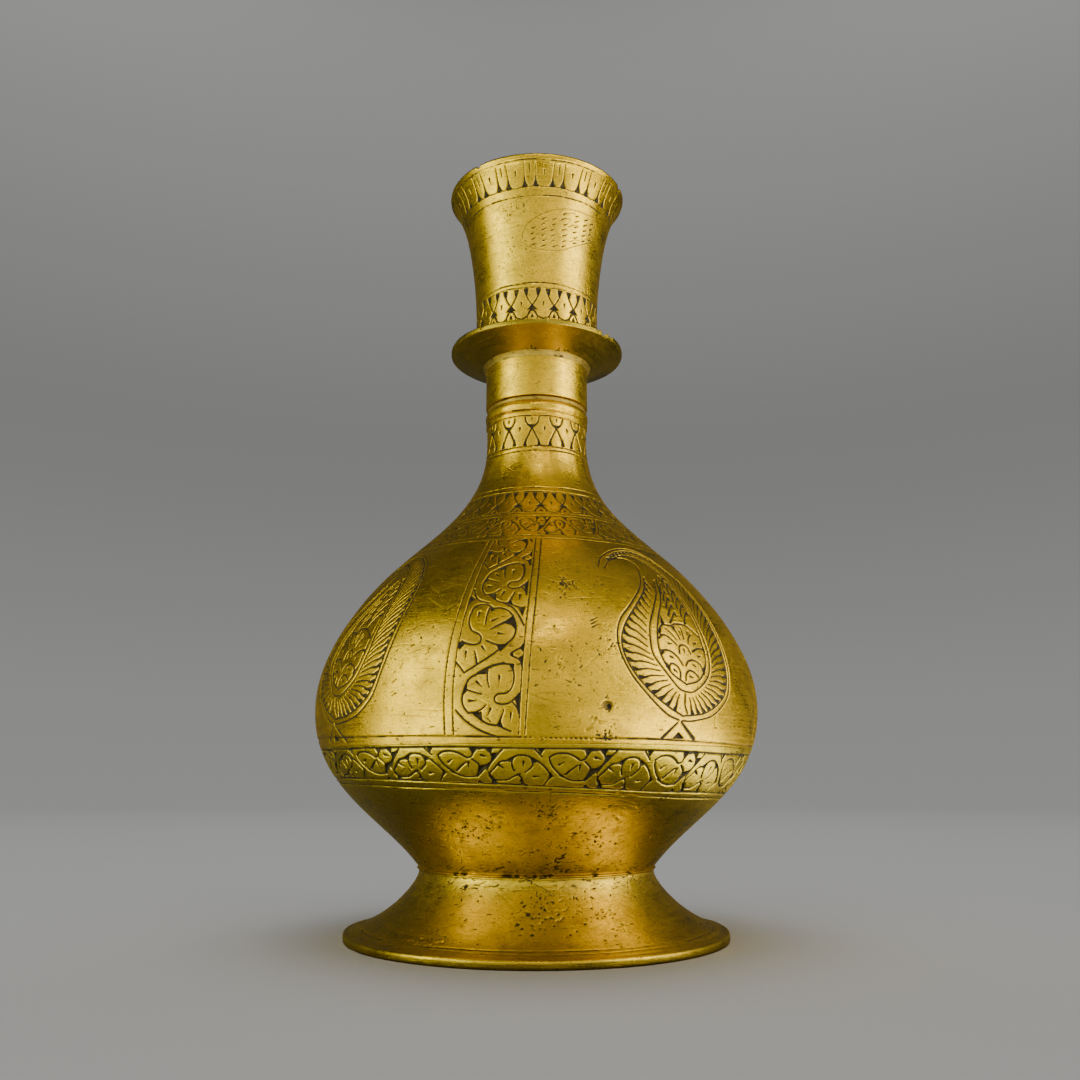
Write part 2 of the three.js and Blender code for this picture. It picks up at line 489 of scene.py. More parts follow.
def at_share(line, share):
    """The point at a share of the way along a line."""
    lengths = np.concatenate([[0], np.cumsum(np.hypot(*np.diff(line, axis=0).T))])
    wanted = np.asarray(share) * lengths[-1]
    return np.stack([np.interp(wanted, lengths, line[:, 0]), np.interp(wanted, lengths, line[:, 1])], -1)


def follow(place, line, width=LINE, end_width=None, depth=LINE_DEPTH, dark=LINE_DARK):
    """Chisels along a line that is already smooth."""
    on_skin = place.on_skin(line)
    widths = np.linspace(width, width if end_width is None else end_width, len(on_skin))
    for i in range(len(on_skin) - 1):
        place.piece.groove(on_skin[i], on_skin[i + 1], widths[i], widths[i + 1], depth, dark)


def chattered(place, points, width=0.25):
    """A ruled line cut with a chattering tool: a row of short strokes, each running out thin."""
    on_skin = place.on_skin(through(points, 1.1))
    for start, end in zip(on_skin[:-1], on_skin[1:]):
        bold = random.uniform(0.7, 1.0)
        place.piece.groove(start, end, width * bold, width * 0.45, LINE_DEPTH * bold, LINE_DARK)


def line(place, points, width=LINE, end_width=None, depth=LINE_DEPTH, dark=LINE_DARK):
    """Chisels a smooth line through a few points."""
    follow(place, through(points), width, end_width, depth, dark)


def lines(place, *routes, **cut):
    """Chisels several lines the same way."""
    for points in routes:
        line(place, points, **cut)


def mark(place, x, y, degrees, length, width, depth=0.3):
    """A wedge-shaped punch mark, wide at (x, y) and pointed at its far end; its size is in millimetres."""
    turn = math.radians(degrees)
    start = place.on_skin([(x, y)])[0]
    end = start + (place.flip * length * math.cos(turn) / place.r, length * math.sin(turn))
    place.piece.groove(start, end, width, 0.08, depth, 1.0)


def marks(place, *spots, **cut):
    """Punches marks at (x, y, degrees) spots."""
    for x, y, degrees in spots:
        mark(place, x, y, degrees, **cut)


def ground(place, *patches, depth=GROUND_DEPTH):
    """Cuts away the ground between the ornaments: dark sunk triangles or other convex patches."""
    for corners in patches:
        place.piece.sink(place.on_skin(corners), depth)


# ----------------------------------------
# Motifs
# ----------------------------------------


def paisley(place):
    """A tall paisley on a crossed stem: feathered border, a flower in the drop, a curled tip."""
    outer_left = through(
        [(-3.4, 4.1), (-7.0, 5.4), (-11.5, 9.0), (-15.5, 13.8), (-17.5, 20.0), (-16.0, 26.0)]
        + [(-11.0, 31.4), (-5.5, 37.2), (-2.9, 41.5), (-2.2, 44.6), (-5.0, 46.6), (-10.0, 46.3)]
        + [(-13.0, 44.5), (-14.8, 42.4)]
    )
    outer_right = through(
        [(-2.6, 4.0), (1.0, 4.1), (7.5, 5.6), (12.8, 9.5), (15.0, 14.8), (16.4, 22.0), (16.8, 30.0)]
        + [(16.6, 36.0), (15.2, 41.4), (12.0, 46.4), (6.0, 50.2), (0.0, 51.3), (-6.0, 50.7)]
        + [(-11.5, 48.5), (-14.8, 46.0), (-16.8, 42.8)]
    )
    body_left = through(
        [(-2.4, 5.0), (-6.7, 7.0), (-11.5, 10.3), (-15.3, 15.0), (-16.6, 20.3), (-14.7, 25.3)]
        + [(-10.0, 30.7), (-4.7, 36.2), (-2.2, 40.2)]
    )
    body_right = through(
        [(-2.4, 5.0), (4.5, 5.9), (10.6, 9.0), (13.4, 13.0), (14.8, 19.0), (15.7, 30.0), (15.0, 39.5)]
        + [(12.0, 44.8), (7.0, 48.6), (1.0, 50.3), (-5.0, 49.9), (-10.0, 48.0)]
        + [(-13.6, 45.4), (-15.8, 42.8)]
    )
    drop_left = through(
        [(-1.6, 10.2), (-4.0, 11.3), (-8.3, 16.3), (-9.4, 19.5), (-8.0, 25.3), (-4.3, 31.0)]
        + [(-1.0, 35.2), (1.3, 39.5)]
    )
    drop_right = through(
        [(-1.6, 10.2), (1.3, 10.5), (6.3, 14.0), (8.6, 19.5), (9.0, 26.0), (8.9, 33.0), (8.2, 38.0)]
        + [(6.2, 42.5), (3.0, 45.8), (-2.0, 47.9), (-7.0, 47.6), (-11.5, 45.7)]
    )
    inner_left = through(
        [(-1.2, 11.8), (-5.4, 14.4), (-7.3, 19.0), (-6.4, 23.8), (-4.0, 28.5), (-0.6, 33.3), (2.0, 38.5)]
    )
    inner_right = through(
        [(-1.2, 11.8), (3.3, 13.2), (6.6, 17.3), (7.6, 24.0), (7.9, 31.0), (7.3, 37.0), (4.8, 41.6)]
    )
    bodies = (body_left, body_right[:-12])  # the right one runs out before the tip
    for outline in (outer_left, outer_right, *bodies, drop_left, drop_right, inner_left, inner_right):
        follow(place, outline)

    for share in np.linspace(0.05, 0.96, 20):
        inner = 0.03 + 0.28 * share + 0.61 * share**2
        feather(place, at_share(body_left, share), at_share(drop_left, inner), side=1)
    for share in np.linspace(0.03, 0.94, 40):
        inner = 0.47 * share + 0.71 * share**2 if share < 0.45 else 0.355 + 1.1 * (share - 0.45)
        feather(place, at_share(body_right, share), at_share(drop_right, inner), side=-1)
    line(place, [(-1.1, 5.6), (-1.9, 7.5), (-1.8, 9.7)])

    flower(place)
    drop_leaf(place)

    # The crossed stem, standing on the line below
    line(place, [(-3.7, 3.6), (-5.6, 2.0), (-7.6, 0.1)], width=0.3, end_width=0.55)
    line(place, [(-2.7, 3.7), (-0.6, 1.9), (1.7, 0.1)], width=0.34, end_width=0.6)
    ground(place, [(-4.7, 0.15), (-1.4, 0.15), (-3.3, 1.5)])


def feather(place, outer, inner, side):
    """One feather: a line that stops short of the drop, with a dark wedge behind its outer end."""
    reach = np.hypot(*(inner - outer))
    inward = (inner - outer) / reach
    across = np.array([-inward[1], inward[0]]) * side
    end = outer + inward * (reach - min(1.2, 0.3 * reach))
    line(place, [outer, (outer + end) / 2 + across * 0.05 * reach, end], width=0.3, end_width=0.18)
    tail = min(2.2, 0.5 * reach)
    ground(place, [outer - across * 0.15, outer + across * 0.95, outer + inward * tail], depth=0.36)


def flower(place):
    """The round flower in the bottom of the drop: overlapping petals, each with a mark."""
    lines(
        place,
        [(-1.6, 18.8), (-1.1, 20.5), (0.2, 21.1), (1.4, 20.6), (2.0, 19.0)],
        [(-6.6, 19.3), (-4.6, 19.3), (-2.7, 18.1), (-1.4, 16.1)],
        [(-0.6, 16.0), (0.7, 17.2), (2.5, 17.5), (4.3, 16.7), (5.0, 15.3)],
        [(-5.7, 15.4), (-4.7, 16.3), (-3.3, 15.8), (-2.6, 14.5), (-2.9, 13.0)],
        [(-1.3, 12.6), (-0.9, 14.1), (0.4, 15.0), (1.9, 14.6), (3.1, 13.6)],
        [(-6.6, 22.2), (-5.2, 23.2), (-3.6, 22.7), (-1.8, 21.0)],
        [(2.7, 19.5), (4.4, 20.3), (6.2, 20.6), (7.3, 20.1)],
        [(-5.4, 24.9), (-4.0, 25.9), (-1.2, 25.9), (0.2, 26.5), (3.4, 26.4), (5.4, 25.2), (7.2, 23.6)],
    )
    lines(
        place,
        [(-0.8, 25.2), (-0.4, 24.0), (-0.1, 22.4)],
        [(1.6, 25.6), (1.5, 24.3), (1.2, 22.6)],
        [(4.2, 24.0), (3.0, 22.9), (2.2, 21.4)],
        [(-3.4, 24.9), (-2.2, 23.6), (-1.3, 22.2)],
        end_width=0.2,
    )
    spots = [(-4.6, 17.9, 340), (2.0, 16.4, 330), (-4.2, 21.1, 0), (4.3, 21.6, 20), (4.4, 18.5, 10)]
    spots += [(0.6, 24.6, 270), (-4.3, 14.9, 320), (0.3, 13.7, 340), (0.1, 19.9, 270), (3.4, 24.6, 240)]
    marks(place, *spots, length=1.1, width=0.34)
    ground(
        place,
        [(-7.3, 19.6), (-6.0, 18.9), (-7.2, 18.0)], [(-6.8, 16.8), (-5.4, 15.8), (-5.4, 14.4)],
        [(-4.4, 26.1), (-3.3, 26.2), (-3.4, 29.0)], [(4.5, 15.3), (6.1, 16.6), (5.1, 14.2)],
        [(6.7, 20.6), (7.6, 21.2), (7.4, 19.2)], [(-6.2, 24.3), (-4.8, 25.2), (-5.9, 22.9)],
        [(-1.6, 25.8), (-0.4, 25.8), (-0.9, 24.5)],
    )


def drop_leaf(place):
    """The leaf above the flower: two columns of slanting comma barbs that narrow towards the tip."""
    rows = 6
    for number in range(rows):
        y = 27.5 + 2.2 * number
        narrow = 0.28 * number
        right = [(7.3 - 0.5 * narrow, y + 3.2), (5.0, y + 1.2), (3.9 + 0.4 * narrow, y - 0.7)]
        left = [(2.1 + narrow, y + 2.6), (0.3 + 1.3 * narrow, y + 0.7), (-1.2 + 2.0 * narrow, y - 0.9)]
        lines(place, right, left, width=0.2, end_width=0.42)
        edge = 0.4 * narrow
        behind = [[(6.1, y + 2.3), (7.3 - edge, y + 3.3), (7.4 - edge, y + 1.7)]]
        if number < 4:
            behind.append([(1.2 + narrow, y + 1.7), (2.2 + narrow, y + 2.7), (2.3 + narrow, y + 1.2)])
        ground(place, *behind, depth=0.34)


def panel_leaf_right(place):
    """A lobed leaf of the upright scroll whose stalk curls in from the right."""
    line(
        place,
        [(-0.2, 13.8), (-2.0, 13.3), (-3.8, 12.3), (-4.8, 10.5), (-5.4, 8.3), (-5.1, 6.6), (-4.0, 5.1)],
    )
    lines(
        place,
        [(-4.4, 10.0), (-3.0, 9.5), (-1.2, 9.0)],
        [(-4.0, 5.2), (-2.6, 5.3), (-1.2, 5.9), (-0.2, 6.8)],
        end_width=0.2,
    )
    line(place, [(-1.4, 5.3), (-1.2, 3.7), (0.3, 2.8), (2.3, 2.5), (3.5, 1.9), (4.9, 1.3)])
    line(place, [(3.5, 5.8), (2.9, 4.2), (2.4, 2.8)], width=0.2, end_width=0.4)
    line(
        place,
        [(-0.3, 14.2), (1.5, 15.0), (3.5, 15.3), (4.9, 14.9), (5.5, 13.5), (5.5, 11.5), (4.9, 9.9)]
        + [(3.8, 9.1), (2.3, 9.0), (1.5, 8.2), (1.8, 7.3), (3.0, 6.9), (4.5, 7.1), (5.6, 7.9)]
        + [(6.8, 9.2)],
    )
    line(place, [(-0.1, 13.6), (0.0, 12.0), (0.4, 10.4)], end_width=0.2)
    line(place, [(5.3, 7.3), (6.2, 6.2), (6.6, 5.0)])
    spots = [(-2.3, 11.6, 318), (-3.8, 7.7, 357), (0.7, 6.0, 246), (4.9, 5.0, 268), (2.5, 12.7, 269)]
    marks(place, *spots, length=1.6, width=0.4)
    ground(
        place,
        [(-5.3, 8.8), (-4.4, 9.6), (-4.3, 12.2)], [(-2.3, 13.2), (0.1, 13.2), (0.1, 14.7)],
        [(-3.4, 5.2), (-1.2, 5.3), (-1.1, 3.3)], [(4.3, 15.4), (5.6, 15.2), (5.4, 13.6)],
        [(5.7, 7.9), (6.9, 9.2), (6.7, 5.6)], [(2.0, 2.7), (3.3, 2.2), (2.6, 3.9)],
    )


def panel_leaf_left(place):
    """The next leaf up: its stalk curls in from the left, and two lobes hang down by the vine."""
    line(
        place,
        [(-0.6, 29.3), (-2.0, 30.0), (-3.7, 30.0), (-5.0, 29.4), (-5.6, 27.4), (-5.6, 25.4)]
        + [(-4.9, 23.7), (-4.2, 23.0), (-2.8, 22.3), (-2.1, 21.3), (-2.3, 20.2), (-3.4, 19.8)]
        + [(-5.2, 20.1), (-6.5, 20.7)],
    )
    line(place, [(-1.2, 28.9), (-1.5, 26.5), (-1.5, 24.6)], end_width=0.2)
    line(
        place,
        [(0.0, 28.8), (1.5, 29.0), (3.5, 28.2), (4.8, 26.5), (5.5, 24.6), (5.5, 22.6), (4.8, 20.9)]
        + [(3.0, 19.3), (0.5, 17.2), (-2.5, 15.2), (-5.0, 13.6)],
    )
    line(place, [(-0.2, 23.4), (1.5, 24.4), (2.9, 25.1)], width=0.2, end_width=0.42)
    line(place, [(-0.9, 20.7), (0.8, 19.9), (2.4, 19.5), (3.8, 19.7)], width=0.3)
    line(place, [(-3.2, 18.2), (-2.8, 16.8), (-2.5, 15.4)], width=0.24, end_width=0.4)
    line(place, [(-7.2, 15.9), (-6.0, 14.6), (-5.1, 13.5)])
    spots = [(-3.5, 27.9, 267), (-0.1, 25.6, 25), (1.6, 22.4, 350), (-1.7, 19.3, 308), (-5.2, 18.2, 274)]
    marks(place, *spots, length=1.6, width=0.4)
    ground(
        place,
        [(-1.2, 29.4), (0.5, 29.0), (-0.5, 28.0)], [(2.6, 25.0), (4.4, 24.4), (4.9, 27.0)],
        [(4.2, 24.7), (5.6, 23.2), (4.9, 26.6)], [(1.4, 19.6), (4.0, 19.8), (2.4, 18.0)],
        [(-7.3, 20.6), (-5.4, 20.4), (-6.8, 18.7)],
    )
    # The vine between the two leaves, and the bud on its right
    lines(
        place,
        [(2.0, 30.4), (4.4, 29.1), (6.0, 27.0), (7.4, 24.2)],
        [(-2.2, 13.4), (0.0, 14.6), (1.8, 15.2), (3.4, 15.5)],
        [(7.3, 18.9), (6.5, 18.7), (4.6, 17.4), (6.1, 16.5), (6.9, 15.8), (7.2, 14.6)],
    )
    ground(
        place,
        [(4.4, 17.4), (5.3, 18.0), (5.3, 16.9)], [(6.6, 18.8), (7.7, 20.4), (7.5, 17.8)],
        [(6.4, 16.6), (7.5, 17.3), (7.3, 14.6)],
    )


def scroll_panel(piece, degrees, along, height):
    """An upright panel that widens a little upwards: ruled borders, and leaves turned right and left."""
    place = Place(piece, degrees, along, r=BELLY_R)
    for low, high in ((-9.6, -7.8), (-7.6, -5.9), (6.5, 9.9), (7.8, 11.9)):
        middle = (low + high) / 2 - 0.25
        chattered(place, [(low, 0.8), (middle, height / 2), (high, height)])
    rise = 27.8
    for number in range(2):
        lean = 1.1 * number
        shifted = Place(piece, degrees + math.degrees(lean / BELLY_R), along + rise * number, r=BELLY_R)
        panel_leaf_right(shifted)
        panel_leaf_left(shifted)
    lines(
        place,
        [(-6.8, 5.8), (-5.0, 3.8), (-2.8, 2.2), (-0.5, 1.0), (2.2, 0.1)],
        [(-6.3, 34.6), (-5.4, 32.6), (-4.2, 31.3), (-1.5, 30.4)],
    )
    ground(place, [(-6.9, 33.0), (-5.4, 31.8), (-6.9, 30.0)], [(5.9, 29.0), (7.4, 29.2), (6.9, 26.7)])


SCROLL_REPEATS = 14
SCROLL_WIDTH = 23.3  # one repeat, as it is drawn
SCROLL_HEIGHT = 8.4  # the band that it is drawn for


def scroll_repeat(place):
    """One repeat of the running scroll: a leaf under an arch of the vine, then one hung from its hook."""
    # The leaf under the arch
    lines(
        place,
        [(-1.2, 5.7), (-2.9, 5.4), (-4.3, 3.9), (-5.6, 2.4), (-5.4, 1.5), (-4.6, 1.1), (-2.0, 1.1)]
        + [(-0.3, 2.1), (1.0, 2.7)],
        [(-0.2, 3.3), (-0.6, 4.5), (-0.4, 6.1), (0.7, 6.9), (2.3, 6.9), (3.3, 6.4), (3.7, 4.9)]
        + [(3.2, 4.1), (2.1, 3.1)],
        [(3.5, 6.4), (4.4, 5.9), (5.5, 5.1), (6.6, 3.9), (7.3, 2.6), (6.7, 1.3), (6.1, 0.4)],
    )
    line(place, [(-5.6, 0.05), (-3.0, 0.1), (0.8, 0.1), (1.3, 0.9), (1.1, 2.0), (0.4, 2.6)], width=0.3)
    line(place, [(1.3, 0.9), (1.7, 0.2), (2.4, 0.0)], width=0.4)
    marks(place, (-3.3, 4.6, 322), (1.8, 5.5, 262), (3.9, 2.2, 5), length=1.3, width=0.4)
    ground(
        place,
        [(-5.9, 3.3), (-5.5, 1.2), (-4.7, 1.0)], [(-1.9, 5.7), (-0.5, 5.3), (0.2, 6.9)],
        [(3.7, 6.5), (4.9, 5.7), (3.7, 5.2)], [(7.1, 1.6), (8.0, 2.4), (7.3, 3.4)],
        [(0.7, 0.7), (1.7, 0.6), (1.2, 1.6)],
    )
    # The vine over the arch, and the hook it throws out
    line(place, [(-6.0, 3.4), (-4.8, 5.3), (-3.6, 6.8), (-2.2, 8.3)])
    line(place, [(4.1, 8.3), (4.8, 7.5), (5.6, 6.6)], width=0.3, end_width=0.2)
    lines(
        place,
        [(7.0, 6.6), (7.3, 5.4), (8.2, 4.0), (9.5, 2.9), (10.9, 2.0), (12.7, 1.6), (14.8, 1.8)],
        [(7.1, 6.6), (8.2, 7.3), (10.0, 7.5), (11.4, 7.2), (12.6, 6.6), (13.3, 6.1), (14.3, 6.3)]
        + [(14.7, 7.2), (14.2, 8.3)],
    )
    # The leaf hung from the hook
    line(place, [(12.9, 5.0), (11.8, 4.1), (10.6, 3.0)], end_width=0.4)
    lines(
        place,
        [(14.4, 5.8), (15.7, 4.6), (15.5, 3.3), (14.9, 1.9)],
        [(15.0, 8.2), (16.2, 8.1), (17.6, 8.2), (18.6, 6.9), (18.5, 5.5), (17.5, 4.6), (16.1, 4.3)],
        [(15.0, 1.7), (16.8, 3.6), (18.6, 5.4), (20.2, 7.3), (21.0, 8.3)],
    )
    marks(place, (9.1, 5.0, 35), (13.5, 5.0, 268), (16.5, 6.7, 345), length=1.3, width=0.4)
    ground(
        place,
        [(4.7, 8.35), (6.1, 8.35), (5.3, 7.2)], [(14.4, 8.35), (15.9, 8.3), (14.8, 6.9)],
        [(17.2, 8.35), (19.0, 8.35), (18.5, 7.0)], [(18.7, 7.2), (20.3, 7.4), (18.8, 5.4)],
        [(15.2, 2.3), (17.6, 4.5), (15.8, 4.2)], [(15.2, 0.9), (16.4, 0.0), (14.7, 0.0)],
        [(18.0, 0.2), (19.4, 0.0), (18.2, 2.2)], [(9.0, 3.2), (10.9, 1.9), (9.3, 2.5)],
    )


def scroll_band(piece, floor, ceiling, phase, scale, r=None):
    """The running scroll all the way round; scale is what a drawn millimetre comes to."""
    for number in range(SCROLL_REPEATS):
        degrees = phase + number * 360 / SCROLL_REPEATS
        place = BandPlace(piece, degrees, floor, ceiling, drawn=(scale, SCROLL_HEIGHT))
        place.r = r or place.r
        scroll_repeat(place)


def band_places(piece, floor, ceiling, count, phase):
    """Evenly spaced places round a band, each with half of its width."""
    for number in range(count):
        place = BandPlace(piece, phase + number * 360 / count, floor, ceiling)
        yield place, math.pi * place.r / count


def halves(place):
    """Turns a place right way round and mirrored by turns, and leaves it right way round."""
    for place.flip in (-1, 1):
        yield


def kite_band(piece, floor, ceiling, count, phase):
    """A band of upright kites with a mark in each, and small arches standing between them."""
    for place, half in band_places(piece, floor, ceiling, count, phase):
        for _ in halves(place):
            line(place, [(half * 0.25, 0.98), (half * 0.45, 0.78), (half * 0.72, 0.6), (half, 0.45)])
            line(place, [(half, 0.38), (half * 0.74, 0.22), (half * 0.45, 0.08), (0.1, 0.02)], width=0.26)
            thin = [(half * 0.64, 0.98), (half * 0.56, 0.82), (half * 0.5, 0.76)]
            arch = [(half, 0.29), (half * 0.72, 0.26), (half * 0.56, 0.14), (half * 0.56, 0.03)]
            lines(place, thin, arch, width=0.24)
            above = [(half * 0.27, 1.0), (half * 0.64, 1.0), (half * 0.5, 0.74)]
            beside = [(half * 0.52, 0.31), (half, 0.31), (half, 0.5)]
            inside = [(half * 0.84, 0.06), (half, 0.06), (half, 0.2)]
            ground(place, above, beside, inside)
        mark(place, 0, 0.56, 270, length=1.2, width=0.4)


def neck_band(piece, floor, ceiling, count, phase):
    """A band of half-rounds above, with lens petals and hanging kites below."""
    for place, half in band_places(piece, floor, ceiling, count, phase):
        for _ in halves(place):
            half_round = [(0, 0.7), (half * 0.36, 0.74), (half * 0.52, 0.86), (half * 0.56, 0.98)]
            petal = [(0, 0.62), (half * 0.3, 0.38), (half * 0.48, 0.2), (half * 0.56, 0.03)]
            lines(place, half_round, petal, width=0.3)
            above = [(0, 0.58), (0, 0.7), (half * 0.4, 0.73)]
            below = [(half * 0.4, 0.03), (half * 0.72, 0.03), (half * 0.54, 0.27)]
            ground(place, above, below)
        mark(place, 0, 0.94, 270, length=0.9, width=0.3)
        mark(place, half, 0.64, 270, length=1.0, width=0.44)


def lip_band(piece, floor, ceiling, count, phase):
    """Upright rounded petals, a broad marked one and a narrow plain one by turns."""
    fine = {"width": 0.22, "depth": 0.17, "dark": 0.6}
    for place, half in band_places(piece, floor, ceiling, count, phase):
        for _ in halves(place):
            broad = [(0.1, 0.03), (half * 0.38, 0.07), (half * 0.56, 0.26), (half * 0.6, 0.5)]
            narrow = [(half, 0.04), (half * 0.78, 0.1), (half * 0.64, 0.28), (half * 0.6, 0.5)]
            lines(place, broad, narrow, **fine)
            side = [(half * 0.6, 0.4), (half * 0.62, 0.7), (half * 0.64, 0.97)]
            line(place, side, end_width=0.16, **fine)
            ground(place, [(half * 0.4, 0.03), (half * 0.8, 0.03), (half * 0.61, 0.33)], depth=0.3)
        mark(place, 0, 0.66, 270, length=1.4, width=0.34, depth=0.24)
        line(place, [(half * 0.99, 0.9), (half, 0.55)], width=0.18, depth=0.12)


def hatched_leaf(place):
    """A lightly scratched leaf on the cup, filled with columns of short slanting nicks."""
    top = [(-12.3, -0.4), (-11.1, 2.2), (-8.8, 4.1), (-3.2, 6.8), (1.3, 7.7), (6.0, 7.9), (11.6, 8.8)]
    low = [(-12.3, -0.4), (-12.1, -2.2), (-10.0, -4.1), (-5.8, -4.7), (-1.7, -4.2), (2.3, -2.3)]
    low += [(7.4, 0.3), (12.1, 2.7)]
    light = {"width": 0.2, "depth": 0.07, "dark": 0.4}
    lines(place, top, low, **light)
    for x in (-9.6, -6.8, -4.1, -1.3, 2.3, 5.2, 7.7):
        floor = np.interp(x, *np.transpose(low[2:]))
        ceiling = np.interp(x, *np.transpose(top))
        for y in np.arange(floor + 0.9, ceiling - 1.0, 1.5):
            start = np.array([x + random.normal(0, 0.2), y])
            reach = random.uniform(0.8, 1.3)
            nick = [start, start + (reach, 0.5 * reach)]
            line(place, nick, width=0.28, end_width=0.15, depth=0.13, dark=0.8)
    for x, y in ((-1.3, 5.6), (-2.4, 3.8), (0.2, 2.7), (1.0, -1.2)):
        line(place, [(x, y), (x + 1.6, y + 0.9), (x + 3.2, y + 1.2)], **light)


# ----------------------------------------
# Wear
# ----------------------------------------


def pits(piece, count, heights, sizes, dark=0.9):
    """Casting pits scattered all round, between two heights."""
    low, high = (piece.along(z) for z in heights)
    for _ in range(count):
        theta = math.radians(random.uniform(-180, 180))
        along = random.uniform(low, high)
        size = sizes[0] + (sizes[1] - sizes[0]) * random.random() ** 3
        stretch = random.normal(0, size * 0.5, 2)
        end = (theta + stretch[0] / piece.radius_at(along), along + stretch[1])
        strength = random.uniform(0.35, 1.0)
        piece.groove((theta, along), end, size, size * 0.6, 0.16 * strength, dark * strength)


def cluster(piece, degrees, height, spread, count, sizes=(0.12, 0.35)):
    """Pits gathered round one spot."""
    along = piece.along(height)
    r = piece.radius_at(along)
    for _ in range(count):
        away = random.normal(0, spread, 2)
        size = random.uniform(*sizes)
        start = (math.radians(degrees) + away[0] / r, along + away[1])
        turn = random.uniform(0, math.pi)
        length = size * random.uniform(0.2, 2.2)
        end = (start[0] + length * math.cos(turn) / r, start[1] + length * math.sin(turn))
        piece.groove(start, end, size, size * 0.5, 0.14 * random.uniform(0.4, 1), random.uniform(0.4, 1))


def glints(piece, degrees, height, spread, count):
    """Small clean gouges that catch the light, gathered round one spot."""
    along = piece.along(height)
    r = piece.radius_at(along)
    for _ in range(count):
        start = np.array([math.radians(degrees), along]) + random.normal(0, 1, 2) * (spread / r, spread)
        turn = random.normal(0.3, 0.6)
        length = random.uniform(0.3, 1.4)
        end = start + (length * math.cos(turn) / r, length * math.sin(turn))
        piece.groove(start, end, 0.26, 0.15, random.uniform(0.1, 0.2), random.uniform(0.0, 0.4))


def scratches(piece, count, heights, lengths=(2, 9)):
    """Fine random scratches, mostly leaning along the turning direction."""
    low, high = (piece.along(z) for z in heights)
    for _ in range(count):
        theta = random.uniform(-math.pi, math.pi)
        along = random.uniform(low, high)
        turn = random.normal(0, 0.7)
        length = random.uniform(*lengths)
        r = piece.radius_at(along)
        start = np.array([theta, along])
        end = start + (length * math.cos(turn) / r, length * math.sin(turn))
        middle = (start + end) / 2 + (0, random.normal(0, 0.15))
        piece.groove(start, middle, 0.14, 0.22, 0.05, 0.25)
        piece.groove(middle, end, 0.22, 0.12, 0.05, 0.25)


def dashes(piece, count, heights, lengths):
    """Short dark nicks all round that mostly lie along the turning direction."""
    low, high = (piece.along(z) for z in heights)
    for _ in range(count):
        start = np.array([math.radians(random.uniform(-180, 180)), random.uniform(low, high)])
        turn = random.normal(0, 0.35)
        length = random.uniform(*lengths)
        step = (length * math.cos(turn) / piece.radius_at(start[1]), length * math.sin(turn))
        piece.groove(start, start + step, 0.16, 0.2, 0.06, random.uniform(0.25, 0.8))


def round_pit(piece, degrees, height, size, depth, dark):
    """A round hole with a ragged edge."""
    along = piece.along(height)
    r = piece.radius_at(along)
    turn = evenly_round(10)
    edge = size * random.uniform(0.8, 1.1, 10)
    corners = np.stack([math.radians(degrees) + edge * np.cos(turn) / r, along + edge * np.sin(turn)], 1)
    piece.sink(corners, depth, dark, slope=0.4 * size)


def hand_cut(base, swing, phase, seed):
    """The height of a hand-cut line round the bottle: a slow tilt of swing, and a small waver."""
    maker = np.random.default_rng(seed)
    shifts = maker.uniform(0, 2 * math.pi, 3)

    def height(theta):
        waver = 0.1 * np.cos(3 * theta + shifts[0]) + 0.06 * np.cos(7 * theta + shifts[1])
        tilt = swing * np.cos(theta + math.radians(phase))
        return base + tilt + waver + 0.04 * np.cos(13 * theta + shifts[2])

    return height


def level(piece, z, seed, swing=0.0, phase=0.0):
    """A hand-cut line at a height of the piece."""
    return hand_cut(piece.along(z), swing, phase, seed)


def faint_places(seed, least, chatter=()):
    """How strongly a line is cut at each angle, up to 1; chatter is the span of degrees cut in jumps."""
    maker = np.random.default_rng(seed)
    shifts = maker.uniform(0, 2 * math.pi, 4)

    def strength(theta):
        wave = sum(np.cos(k * theta + shift) for k, shift in zip((4, 9, 17, 61), shifts)) / 4
        full = np.clip(0.75 + 0.9 * wave, least, 1.0)
        if not chatter:
            return full
        degrees = (np.degrees(theta) + 180) % 360 - 180
        jumping = (degrees > chatter[0]) & (degrees < chatter[1])
        return full - jumping * 0.35 * (1 - np.cos(330 * theta))

    return strength


# ----------------------------------------
# The pieces
# ----------------------------------------

FOOT_CURVE = bezier((FOOT_R - 0.1, 1.9), (38.9, 2.8), (28.0, 13.0), (WAIST_R, FOOT_TOP))
LOWER_CURVE = bezier((WAIST_R, SEAT), (39.5, 29.5), (BELLY_R, 35.3), (BELLY_R, BELLY_Z))
UPPER_CURVE = bezier((BELLY_R, BELLY_Z), (BELLY_R, 68.6), (45.0, 82.9), SHOULDER)
NECK_CURVE = bezier(SHOULDER, (23.1, 102.4), (NECK_R, 110.8), (NECK_R, 126.0))
CUP_CURVE = bezier((CUP_R, CUP_SEAT + 6), (CUP_R, 169.0), (18.3, 191.5), (LIP_R - 0.5, CUP_TOP - 1.6))


def bead(low_z, high_z, bulge):
    """The outline of a turned bead on the neck."""
    turn = np.linspace(0, math.pi, 14)
    return np.stack([NECK_R + bulge * np.sin(turn), low_z + (high_z - low_z) * (1 - np.cos(turn)) / 2], 1)


